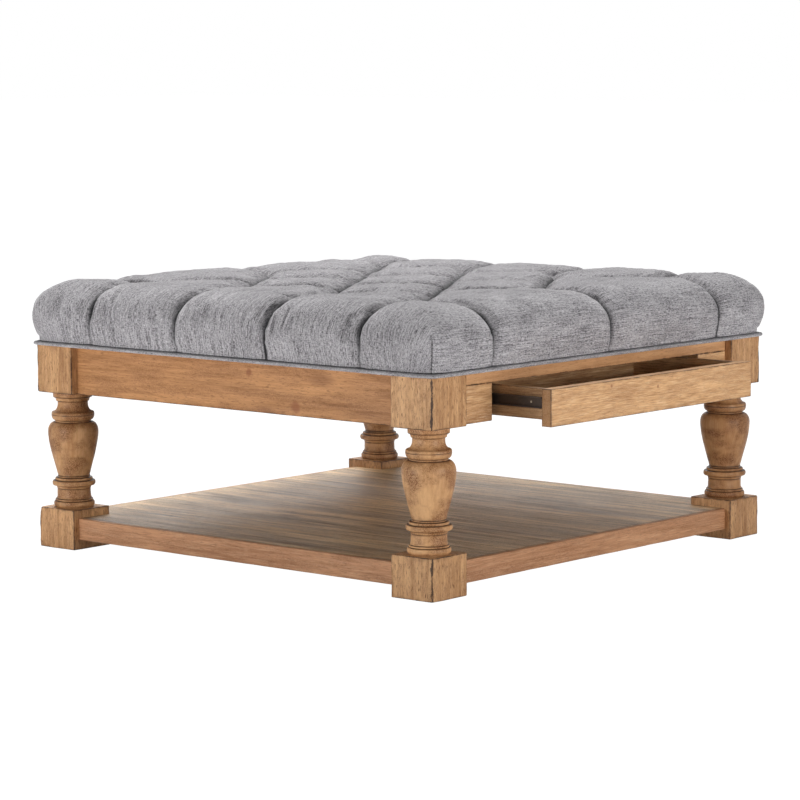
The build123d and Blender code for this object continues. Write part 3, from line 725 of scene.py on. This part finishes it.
def leg(node, sign_x, sign_y):
    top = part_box(node)[1].z
    axis = (sign_x * leg_axis, sign_y * leg_axis)
    seed = sum(map(ord, node))
    x_low, x_high = sorted((sign_x * leg_inner, sign_x * block_outer))
    y_low, y_high = sorted((sign_y * leg_inner, sign_y * block_outer))
    parts = []
    for z_low, z_high, extra in ((0, foot_top, 0), (block_low, top, upper_seed)):
        corners = ((x_low, y_low, z_low), (x_high, y_high, z_high))
        parts.append(rounded_box(*corners, block_arris, block_wander, seed + extra, step=block_step,
                                 rasped=(sign_x, sign_y)))
    shaft, shaft_faces, hollow = turned_shaft(axis, seed + shaft_seed)
    on_shaft = np.ones(len(shaft))
    parts.append((shaft, shaft_faces, far_from_edge * on_shaft, 0 * on_shaft))
    faces, start = [], 0
    for part in parts:
        faces += [tuple(int(corner) + start for corner in face) for face in part[1]]
        start += len(part[0])
    points, rim, rasp = (np.concatenate([part[index] for part in parts]) for index in (0, 2, 3))
    attributes = {"grain": grain_place(points, "z"), "rim": rim, "rasp": rasp}
    on_blocks = np.ones(start - len(shaft))
    attributes["hollow"] = np.concatenate([0 * on_blocks, hollow])
    # Painted shade, as an attribute that the timber materials read.
    block_painted_shade, shaft_painted_shade = leg_painted_shade[node]
    attributes["painted_shade"] = np.concatenate([block_painted_shade * on_blocks, shaft_painted_shade * on_shaft])
    made = piece(node + "_turned", points, faces, attributes, block_timber)
    made.data.materials.append(turned_timber)
    turned = np.zeros(len(faces), np.int32)
    turned[len(faces) - len(shaft_faces):] = 1
    made.data.polygons.foreach_set("material_index", turned)
    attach(made, "table")
    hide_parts(node)
    return made


past_apron = 0.015
block_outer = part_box("apron_back")[1].y + past_apron
leg_axis = (leg_inner + block_outer) / 2
for end, sign_y in (("front", -1), ("back", 1)):
    for side, sign_x in (("left", -1), ("right", 1)):
        made = leg(f"leg_{end}_{side}", sign_x, sign_y)
print("each leg:", len(made.data.vertices), "points, axis at", round(leg_axis, 4))

# %% [markdown]
# The cushion. Its cloth is one square sheet, pulled down by eighteen ties, folded in diamonds from
# tie to tie, pleated over the edges and sewn to a flange at its foot. So the mesh starts as a sheet
# too: a square grid whose two coordinates, in metres of cloth, run over the top, round the roll and
# down the sides. The weave follows these coordinates later, as threads do.

# %% The sheet
pad_low, pad_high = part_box("seat_pad")
pad_half = pad_high.x + 0.8 * mm
pad_top = pad_high.z
pad_foot = pad_low.z
roll_width = 95 * mm
full_height = pad_foot + (pad_top - pad_foot) * 0.46
foot_inset = 12 * mm
corner_round = 42 * mm
corner_fullness = {(-1, -1): 6 * mm, (-1, 1): 8 * mm, (1, -1): 8 * mm, (1, 1): 1 * mm}
fullness_place, fullness_spread = 50 * mm, 40 * mm
flat_half = pad_half - roll_width


def side_outline(count=240):
    """Distance in from the widest place, and height, along the cloth from the roll's start down."""
    turn = np.linspace(math.pi / 2, 0, count)
    inset = roll_width * (1 - np.cos(turn))
    height = full_height + (pad_top - full_height) * np.sin(turn)
    share = np.linspace(0, 1, count)[1:]
    inset = np.concatenate([inset, foot_inset * share**2.0])
    height = np.concatenate([height, full_height + (pad_foot - full_height) * share])
    length = np.concatenate([[0], np.cumsum(np.hypot(np.diff(inset), np.diff(height)))])
    return length, inset, height


side_length, side_inset, side_height = side_outline()
sheet_half = flat_half + side_length[-1]


def over_edge(place):
    """How far a place on the sheet is past the start of the roll."""
    return np.maximum(np.abs(place) - flat_half, 0)


def laid_sheet(across, along):
    """Where a point of the cloth lies on the smooth cushion, before any tie is pulled."""
    over_x, over_y = over_edge(across), over_edge(along)
    down = np.maximum(over_x, over_y)
    inset = np.interp(down, side_length, side_inset)
    height = np.interp(down, side_length, side_height)
    half = pad_half - inset
    radius = np.maximum(np.minimum(roll_width - inset, corner_round), 1e-5)
    straight_run = half - radius - flat_half
    share = np.minimum(over_x, over_y) / np.maximum(down, 1e-9)
    run = share * (straight_run + radius * math.pi / 4)
    turn = np.clip((run - straight_run) / radius, 0, math.pi / 4)
    near = flat_half + np.minimum(run, straight_run) + radius * np.sin(turn)
    far = half - radius * (1 - np.cos(turn))
    x_leads = over_x >= over_y
    x = np.where(x_leads, far, near)
    y = np.where(x_leads, near, far)
    x = np.where(over_x > 0, x, np.abs(across))
    y = np.where(over_y > 0, y, np.abs(along))
    x = np.where((over_x > 0) & (over_y == 0), half, x)
    y = np.where((over_y > 0) & (over_x == 0), half, y)
    return np.stack([x * np.sign(across), y * np.sign(along), height], axis=-1)


def sheet_normals(surface):
    normal = np.cross(np.gradient(surface, axis=0), np.gradient(surface, axis=1))
    return normal / np.maximum(np.linalg.norm(normal, axis=-1, keepdims=True), 1e-12)


def sheet_grid(cells):
    line = np.linspace(-sheet_half, sheet_half, cells + 1)
    return np.meshgrid(line, line, indexing="ij")


print("sheet:", round(sheet_half * 2, 3), "m of cloth each way")

# %% [markdown]
# Ties, folds and pleats. Each fold is a line on the sheet between two ties, and each pleat runs from
# an outer tie straight down to the flange. The cloth dives at these lines and swells between them.

# %% Ties and folds
tie_x, tie_y = 322 * mm, 213.5 * mm
ties = [(tie_x * column, tie_y * (row - 1.5)) for column in (-1, 0, 1) for row in range(4)]
ties += [(tie_x * column, tie_y * (row - 1)) for column in (-0.5, 0.5) for row in range(3)]
folds = []
for x, y in ties:
    for step_y in (-tie_y / 2, tie_y / 2):
        there = (x + tie_x / 2, y + step_y)
        if any(math.dist(there, other) < 10 * mm for other in ties):
            folds.append(((x, y), there))
pleats = []
for x, y in ties:
    if abs(x) > tie_x * 0.9:
        pleats.append(((x, y), (math.copysign(sheet_half, x), y)))
    if abs(y) > tie_y * 1.4:
        pleats.append(((x, y), (x, math.copysign(sheet_half, y))))
print(len(ties), "ties,", len(folds), "folds,", len(pleats), "pleats")

# %% [markdown]
# Between two creases the stuffing pushes the cloth up into a round flank, so the depth near a crease
# follows a quarter circle: steep at the crease and level at its reach. Where several creases meet,
# their depths are blended instead of taking the deepest, or hard ridges would run between them.
# One flank of every crease is steeper, because the cloth is tucked under on that side. An attribute
# holds painted shade: how dark the bottoms of the folds, pleats and tie pits, the corner seams and
# the cushion's foot are painted. Two of the pleats also get a painted black line, as if they gaped.


# %% Depth of the creases
def to_line(x, y, start, end):
    """Distance of each place on the sheet from a line, its side of it, and the share along it."""
    run_x, run_y = end[0] - start[0], end[1] - start[1]
    length = math.hypot(run_x, run_y)
    share = np.clip(((x - start[0]) * run_x + (y - start[1]) * run_y) / length**2, 0, 1)
    distance = np.hypot(x - start[0] - run_x * share, y - start[1] - run_y * share)
    side = ((x - start[0]) * run_y - (y - start[1]) * run_x) / length
    return distance, side, share, length


def round_flank(distance, reach, roundness=0.5):
    """1 in a crease and 0 from its reach outward, falling as a round flank does."""
    share = np.clip(distance / reach, 0, 1)
    return 1 - (1 - (1 - share) ** 2) ** roundness


fold_depth, fold_reach = 30 * mm, 34 * mm
pleat_depth, pleat_reach = 26 * mm, 44 * mm
tie_depth, tie_reach = 42 * mm, 42 * mm
broad_share, broad_reach = 0.38, 2.2
seam_depth = 3 * mm
blend_power = 5


def flank(distance, reach, roundness=0.5):
    """A steep round flank at the crease on top of a broader and gentler one."""
    steep = round_flank(distance, reach, roundness)
    broad = round_flank(distance, reach * broad_reach, roundness)
    return steep * (1 - broad_share) + broad_share * broad


tucked, tuck_turn = 0.16, 12 * mm
fold_sag, tie_roundness = 0.16, 0.62
pleat_narrowing = 0.30
pleat_fade = ([0, 0.25, 0.50, 0.75, 0.92, 1], [1.15, 1.0, 1.0, 0.66, 0.22, 0.10])
pleat_dark = ([0, 0.2, 0.7, 1], [0.8, 1.0, 0.95, 0.45])
# Painted shade: a black line down two pleats, as if they gaped; the cloth itself stays closed.
pleats_painted_open = [((-flat_half, -tie_y / 2), (-sheet_half, -tie_y / 2))]
pleats_painted_open += [((tie_x, -flat_half), (tie_x, -sheet_half))]
open_width, painted_gap_dark, open_fade = 2.2 * mm, 1.3, ([0, 0.25, 1], [0, 1, 1])
# Widths of the painted shade at creases and ties, and of the corner seams.
crease_width, tie_width, seam_width = 2.4 * mm, 6.0 * mm, 2.0 * mm
shade_width, shade_share = 15 * mm, 0.54
seam_start, seam_fade = 100 * mm, 22 * mm
foot_line = 0.9 * mm


def painted_crease_shade(distance):
    """Painted shade of a crease: 1 in it, falling fast at first and then slowly."""
    narrow, wide = np.exp(-distance / crease_width), np.exp(-distance / shade_width)
    return (1 - shade_share) * narrow + shade_share * wide


def creases(x, y):
    """How deep the cloth is pulled in at each place on the sheet, and how dark it is painted near
    creases.
    """
    depth, crease_shade = np.zeros_like(x), np.zeros_like(x)
    for start, end in folds:
        distance, side, share, _ = to_line(x, y, start, end)
        reach = fold_reach * (1 + tucked * np.tanh(side / tuck_turn))
        sag = 1 - fold_sag * np.sin(math.pi * share)
        depth += (fold_depth * sag * flank(distance, reach)) ** blend_power
        crease_shade = np.maximum(crease_shade, painted_crease_shade(distance))
    for start, end in pleats:
        distance, side, share, _ = to_line(x, y, start, end)
        reach = pleat_reach * (1 - pleat_narrowing * share) * (1 + tucked * np.tanh(side / tuck_turn))
        fade = np.interp(share, *pleat_fade)
        depth += (pleat_depth * fade * flank(distance, reach)) ** blend_power
        crease_shade = np.maximum(crease_shade, np.interp(share, *pleat_dark) * painted_crease_shade(distance))
    for start, end in pleats_painted_open:
        distance, _, share, _ = to_line(x, y, start, end)
        # Painted gap: a black line along the pleat.
        painted_gap = painted_gap_dark * np.exp(-distance / open_width) * np.interp(share, *open_fade)
        crease_shade = np.maximum(crease_shade, painted_gap)
    for tie in ties:
        distance = np.hypot(x - tie[0], y - tie[1])
        depth += (tie_depth * flank(distance, tie_reach, tie_roundness)) ** blend_power
        # Painted shade in the pit of each tie.
        crease_shade = np.maximum(crease_shade, np.exp(-distance / tie_width))
    depth = depth ** (1 / blend_power)
    down = np.minimum(over_edge(x), over_edge(y))
    off_corner = np.abs(np.abs(x) - np.abs(y))
    seam = np.exp(-off_corner / seam_width) * np.clip((down - seam_start) / seam_fade, 0, 1)
    to_foot = sheet_half - np.maximum(np.abs(x), np.abs(y))
    # Painted shade also darkens the corner seams and the cushion's foot above the flange.
    crease_shade = np.maximum(crease_shade, np.maximum(0.9 * seam, np.exp(-((to_foot / foot_line) ** 4))))
    return depth + seam_depth * seam, crease_shade


# %% [markdown]
# Linen doesn't stretch, so it drags: fine wrinkles run down beside each pleat and fan out round each
# tie. Smooth random waves make them, squeezed along the pleat and wound round the tie.

# %% Drag wrinkles
drag_height, drag_spread, drag_spacing = 1.2 * mm, 50 * mm, 13 * mm
drag_fade = ([0, 0.3, 0.9, 1], [0.3, 1, 1, 0.2])
fan_height, fan_spread, fan_rays = 1.7 * mm, 24 * mm, 13
quiet_width = 25 * mm
uneven = ((1.2 * mm, 110 * mm, 31), (0.5 * mm, 34 * mm, 32))


def wrinkles(x, y):
    """Small heights of the cloth above the smooth pillows."""
    height = np.zeros_like(x)
    for number, (start, end) in enumerate(pleats):
        distance, side, share, length = to_line(x, y, start, end)
        beside = distance < 4 * drag_spread
        stretched = np.stack([side, share * length * 0.20, np.zeros_like(side)], axis=-1)[beside]
        strength = np.exp(-distance / drag_spread) * np.interp(share, *drag_fade)
        waves = ripple(stretched, drag_spacing, 200 + number, waves=12)
        height[beside] += drag_height * strength[beside] * waves
    for number, tie in enumerate(ties):
        off_x, off_y = x - tie[0], y - tie[1]
        distance = np.hypot(off_x, off_y)
        close = distance < 5 * fan_spread
        angle = np.arctan2(off_y, off_x)
        ring_size = fan_rays * 0.5 * drag_spacing / math.pi
        wound = [ring_size * np.cos(angle), ring_size * np.sin(angle), distance * 0.12]
        waves = ripple(np.stack(wound, axis=-1)[close], drag_spacing, 300 + number, waves=10)
        strength = np.exp(-distance / fan_spread) * np.clip(distance / (8 * mm), 0, 1)
        height[close] += fan_height * strength[close] * waves
    flat = np.stack([x, y, np.zeros_like(x)], axis=-1).reshape(-1, 3)
    for size, spacing, seed in uneven:
        height += size * ripple(flat, spacing, seed).reshape(x.shape)
    return height


def cushion_shape(x, y):
    """The whole pulled and wrinkled sheet: its points, its outward directions and the painted shade of
    its creases.
    """
    smooth = laid_sheet(x, y)
    normals = sheet_normals(smooth)
    depth, crease_shade = creases(x, y)
    off_x, off_y = over_edge(x) - fullness_place, over_edge(y) - fullness_place
    share_x, share_y = np.tanh(x / roll_width), np.tanh(y / roll_width)
    size = sum(value * (1 + sign_x * share_x) * (1 + sign_y * share_y) / 4
               for (sign_x, sign_y), value in corner_fullness.items())
    fullness = size * np.exp(-(off_x**2 + off_y**2) / (2 * fullness_spread**2))
    quiet = np.clip((sheet_half - np.maximum(np.abs(x), np.abs(y))) / quiet_width, 0, 1)
    rise = fullness + wrinkles(x, y) * quiet - depth
    return smooth + normals * rise[..., None], normals, crease_shade


# %% [markdown]
# Cloth simulation. The shape so far is drawn, and drawn pillows are too regular. So a coarser copy
# of the sheet is blown up by Blender's Cloth: it starts a little inside the final surface, is held
# at the creases, the seams and the foot, and has slightly more cloth than it needs, so that it
# wrinkles where it is held. Only the way that each point moved is kept, limited to a few
# millimetres, and is added to the fine sheet. Nothing of the simulation itself stays in the scene.

# %% Cloth simulation
trial_cells = 184
swell_room = 4.4 * mm
held_near = 0.52
most_moved = 4.6 * mm
spare_cloth = -0.035
cloth_frames = 20
held_edge = 9 * mm


def sheet_faces(cells):
    return quads_between(np.arange((cells + 1) ** 2).reshape(cells + 1, cells + 1))


def blown_up(points, faces, held):
    """The points after the cloth has been inflated, with the held points fixed."""
    mesh = bpy.data.meshes.new("trial_sheet")
    mesh.from_pydata(points.tolist(), [], faces.tolist())
    trial = bpy.data.objects.new("trial_sheet", mesh)
    bpy.context.scene.collection.objects.link(trial)
    group = trial.vertex_groups.new(name="held")
    group.add([int(index) for index in np.flatnonzero(held)], 1.0, "REPLACE")
    cloth = trial.modifiers.new("cloth", "CLOTH")
    settings = cloth.settings
    settings.quality = 4
    settings.mass = 0.3
    settings.use_pressure = True
    settings.uniform_pressure_force = 4
    settings.shrink_min = spare_cloth
    settings.vertex_group_mass = "held"
    settings.effector_weights.gravity = 0
    cloth.point_cache.frame_end = cloth_frames
    scene = bpy.context.scene
    for number in range(1, cloth_frames + 1):
        scene.frame_set(number)
    blown = trial.evaluated_get(bpy.context.evaluated_depsgraph_get())
    result = np.empty(len(points) * 3)
    blown.data.vertices.foreach_get("co", result)
    scene.frame_set(1)
    bpy.data.objects.remove(trial)
    bpy.data.meshes.remove(mesh)
    return result.reshape(-1, 3)


def simulated_move():
    """How far each point of the trial sheet moved when it was inflated."""
    x, y = sheet_grid(trial_cells)
    points, normals, crease_shade = cushion_shape(x, y)
    held = (crease_shade > held_near) | (np.maximum(np.abs(x), np.abs(y)) > sheet_half - held_edge)
    start = points - normals * (swell_room * (1 - crease_shade))[..., None]
    end = blown_up(start.reshape(-1, 3), sheet_faces(trial_cells), held.ravel())
    move = end.reshape(points.shape) - start
    far = np.linalg.norm(move, axis=-1, keepdims=True)
    move *= np.minimum(far, most_moved) / np.maximum(far, 1e-9)
    print("the cloth moved", round(float(far.max()) * 1000, 1), "mm at most")
    return move + start - points


def finer(values, cells):
    """Values on the trial sheet, read between its points on a grid with more cells."""
    old = np.linspace(0, 1, len(values))
    new = np.linspace(0, 1, cells + 1)
    rows = np.stack([np.interp(new, old, column) for column in values.T], axis=1)
    return np.stack([np.interp(new, old, row) for row in rows], axis=0)


# %% The cushion's mesh
cells = 520
sheet_x, sheet_y = sheet_grid(cells)
cushion_grid, _, crease_shade = cushion_shape(sheet_x, sheet_y)
move = simulated_move()
cushion_grid += np.stack([finer(move[..., axis], cells) for axis in range(3)], axis=-1)
flat_points = cushion_grid.reshape(-1, 3)
cushion_faces = sheet_faces(cells)
numbers = np.arange(len(flat_points)).reshape(cells + 1, cells + 1)
print("cushion cells:", len(cushion_faces))

# %% [markdown]
# Linen. The cover is woven from uneven grey and off-white yarns, so it looks heathered: short dark
# and pale slubs both ways, and longer ones down the sides. The group works in metres of cloth.


# %% Group: linen weave
def linen_group():
    inputs = [("Cloth", "vector"), ("Light", "colour"), ("Dark", "colour"), ("Slubs", "value", 1.0)]
    outputs = [("Colour", "colour"), ("Height", "value")]
    group, given, result, make = new_group("linen_weave", inputs, outputs)
    cloth = given["Cloth"]
    warp = make.noise(cloth, (150, 1100, 1), detail=3, roughness=0.65)
    weft = make.noise(cloth, (1100, 190, 1), detail=3, roughness=0.65)
    slub_warp = make.noise(cloth, (19, 560, 1), detail=2, roughness=0.5)
    slub_weft = make.noise(cloth, (560, 50, 1), detail=2, roughness=0.5)
    clouds = make.noise(cloth, (14, 14, 1), detail=2)
    tone = make.plus(make.times(warp, 0.58), make.times(weft, 0.42))
    slubs = make.plus(make.times(slub_warp, 0.72), make.times(slub_weft, 0.28))
    tone = make.plus(make.times(tone, 0.70), make.times(slubs, 0.30))
    tone = make.plus(tone, make.times(make.minus(clouds, 0.5), 0.06))
    spread = make.times(make.minus(tone, 0.5), make.times(given["Slubs"], 6.6))
    level = make.math("ADD", spread, 0.5, clamp=True)
    colour = make.mix(level, given["Dark"], given["Light"])
    make.give(result, {"Colour": colour, "Height": tone})
    return group


linen_weave = linen_group()
grey_linen, make, shader = new_material("grey_linen")
linen_values = {"Cloth": make.field("cloth", "Vector"), "Slubs": 1.0}
linen_values.update({"Light": linear(208, 205, 208), "Dark": linear(66, 62, 67)})
weave = make.add("ShaderNodeGroup", linen_values, node_tree=linen_weave)
# Painted shade: the crease attribute darkens the cloth towards a near black in folds, pleats, tie
# pits, seams and at the foot.
shaded = make.times(make.ramp(make.field("crease_shade"), 0.10, 0.76), 0.96)
make.give(shader, {
    "Base Color": make.mix(shaded, weave.outputs["Colour"], linear(22, 22, 26)),
    "Normal": make.relief(weave.outputs["Height"], 0.5, 0.0012),
    "Roughness": 0.93,
    "Specular IOR Level": 0.15,
    "Sheen Weight": 0.20,
    "Sheen Roughness": 0.6,
})
print("material:", grey_linen.name)

# %% Close the cushion underneath
under_inset, under_rise = 45 * mm, 12 * mm


def closed_sheet(points):
    """Adds a lip and a flat underside to the sheet's edge, and returns points and faces."""
    edge = [*numbers[:, 0], *numbers[-1, 1:], *numbers[-2::-1, -1], *numbers[0, -2:0:-1]]
    rim_points = points[edge]
    shrink = (pad_half - under_inset) / pad_half
    lip = rim_points * [shrink, shrink, 1]
    lid = lip + [0, 0, under_rise]
    start = len(points)
    total = len(edge)
    faces = []
    for index in range(total):
        after = (index + 1) % total
        faces.append((edge[after], edge[index], start + index, start + after))
        faces.append((start + after, start + index, start + total + index, start + total + after))
    faces.append(tuple(start + total + index for index in range(total)))
    everything = np.concatenate([points, lip, lid])
    return everything, [tuple(face) for face in cushion_faces.tolist()] + faces


cushion_points, cushion_all_faces = closed_sheet(flat_points)
extra = len(cushion_points) - len(flat_points)
cloth_place = np.stack([sheet_x.ravel(), sheet_y.ravel(), np.zeros(len(flat_points))], axis=1)
cloth_place = np.concatenate([cloth_place, np.zeros((extra, 3))])
cushion = piece(
    "tufted_cushion",
    cushion_points,
    cushion_all_faces,
    {"cloth": cloth_place, "crease_shade": np.concatenate([crease_shade.ravel(), np.zeros(extra)])},
    grey_linen,
)
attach(cushion, "table")
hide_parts("seat_pad")
print("cushion:", len(cushion.data.vertices), "points")

# %% [markdown]
# The flange is a narrow band of the same cloth, folded and sewn, that stands out under the cushion
# and pokes out a little at the corners. Above it a painted shadow line, dark in the colour of the
# band's top, shows where it is stitched on.

# %% Flange
welt_low, welt_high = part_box("welt")
welt_half = welt_high.x - 2.5 * mm
welt_radius = 37 * mm
welt_width = 24 * mm
band_height = 5.9 * mm


def rounded_square(half, radius, spacing, bends=14):
    """Points round a square with rounded corners and slightly hollow sides, and the ways outward."""
    places, outward = [], []
    run = half - radius
    steps = int(2 * run / spacing)
    for quarter_turn in range(4):
        angle = quarter_turn * math.pi / 2
        turn = np.array([[math.cos(angle), -math.sin(angle)], [math.sin(angle), math.cos(angle)]])
        for step in range(steps):
            share = step / steps
            draw = 1.6 * mm * math.sin(math.pi * share)
            places.append(turn @ [half - draw, -run + 2 * run * share])
            outward.append(turn @ [1, 0])
        for step in range(bends):
            bend = math.pi / 2 * step / bends
            way = np.array([math.cos(bend), math.sin(bend)])
            tip = 2.2 * mm * math.sin(2 * bend) ** 6
            places.append(turn @ (np.array([run, run]) + (radius + tip) * way))
            outward.append(turn @ way)
    return np.array(places), np.array(outward)


welt_path, welt_out = rounded_square(welt_half, welt_radius, 4 * mm)
welt_height = welt_high.z - welt_low.z
fold_round = 2.0 * mm
section = [(-welt_width, 0.1 * mm), (-8 * mm, 0.1 * mm)]
for step in range(9):
    turn = -math.pi / 2 + math.pi * step / 8
    section.append((fold_round * (math.cos(turn) - 1), band_height / 2 * (1 + 0.96 * math.sin(turn))))
section += [(-4.5 * mm, band_height), (-6.0 * mm, band_height + 0.2 * mm)]
section += [(inset, welt_height + 0.4 * mm) for inset in (-6.5 * mm, -welt_width)]
rows = len(welt_path)
columns = len(section)
base = np.zeros((rows, 3))
base[:, :2] = welt_path
wave = 0.40 * mm * ripple(base, 70 * mm, 77) + 0.15 * mm * ripple(base, 14 * mm, 79)
push = 0.6 * mm * ripple(base, 110 * mm, 78) + 0.25 * mm * ripple(base, 12 * mm, 80)
welt_points = np.zeros((rows, columns, 3))
for column, (out, up) in enumerate(section):
    welt_points[:, column, :2] = welt_path + welt_out * (out + push)[:, None]
    welt_points[:, column, 2] = welt_low.z + np.clip(up + wave * (up > 1 * mm), 0.1 * mm, None)
grid = np.arange(rows * columns).reshape(rows, columns)
welt_faces = quads_between(np.pad(grid, ((0, 1), (0, 1)), mode="wrap"))
distance = np.concatenate([[0], np.cumsum(np.linalg.norm(np.diff(welt_path, axis=0), axis=1))])
welt_cloth = np.zeros((rows, columns, 3))
welt_cloth[..., 0] = distance[:, None]
welt_cloth[..., 1] = np.linspace(0, 0.03, columns)[None, :]
welt_painted_shade = np.zeros((rows, columns))
# Painted shadow on the top of the band, under the cushion.
welt_painted_shade[:, -2:] = 0.8
flange = piece(
    "cushion_flange",
    welt_points.reshape(-1, 3),
    welt_faces,
    {"cloth": welt_cloth.reshape(-1, 3), "crease_shade": welt_painted_shade.ravel()},
    grey_linen,
)
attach(flange, "table")
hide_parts("welt")
print("flange:", rows, "stations")

# %% [markdown]
# The nodes that stay as they came: blocks, battens, boards for the slides, plywood, tape, steel and
# screws. Their shape is right, so they only get their finishes.

# %% Plain timber, plywood, tape, steel
plain_colours = ((206, 172, 128), (158, 120, 80), (222, 198, 160))
plain_timber = {}
for axis in "xyz":
    look = {"pores": 0.4, "wiped": 0.1, "axis": axis}
    plain_timber[axis] = timber(f"plain_timber_{axis}", *plain_colours, **look)


def metal(name, colour, worn, metallic, roughness, scale):
    material, make, shader = new_material(name)
    patches = make.noise(make.own_place(), (scale, scale, scale), detail=4, roughness=0.6)
    make.give(shader, {
        "Base Color": make.mix(make.ramp(patches, 0.45, 0.75), linear(*colour), linear(*worn)),
        "Roughness": make.ramp(patches, 0.3, 0.7, roughness - 0.08, roughness + 0.12),
        "Normal": make.relief(patches, 0.15, 0.0003),
        "Metallic": metallic,
    })
    return material


plywood, make, shader = new_material("plywood")
ply_values = {"Light": linear(214, 186, 146), "Dark": linear(176, 142, 100)}
ply_values["Place"] = place_along(make, "x")
grain = make.add("ShaderNodeGroup", ply_values, node_tree=timber_grain)
plies = make.ramp(make.noise(make.own_place(), (1, 1, 640), detail=0), 0.45, 0.55, 0.0, 0.25)
plies = make.mix(plies, grain.outputs["Colour"], linear(132, 98, 62))
make.give(shader, {"Base Color": plies, "Roughness": 0.8})

tape, make, shader = new_material("tufting_tape")
threads = make.noise(make.own_place(), (900, 300, 900), detail=2)
threads = make.mix(threads, linear(22, 22, 24), linear(52, 52, 56))
make.give(shader, {"Base Color": threads, "Roughness": 0.9})
black_steel = metal("black_steel", (60, 49, 42), (78, 64, 54), 0.3, 0.5, 90)
zinc = metal("zinc_fasteners", (176, 170, 156), (134, 124, 108), 1.0, 0.38, 220)

finishes = [
    (("corner_blocks",), plain_timber["z"]),
    (("slide_board_left", "slide_board_right", "drawer_dowels"), plain_timber["y"]),
    (("shelf_batten",), plain_timber["x"]),
    (("seat_deck",), plywood),
    (("tuft_ties",), tape),
    (("slide_outer", "slide_inner", "slide_cage"), black_steel),
]
for name, item in nodes.items():
    if not item.hide_render:
        finish = next((look for starts, look in finishes if name.startswith(starts)), zinc)
        item.data.materials.clear()
        item.data.materials.append(finish)
print("nodes kept from the frame:", sum(not item.hide_render for item in nodes.values()))
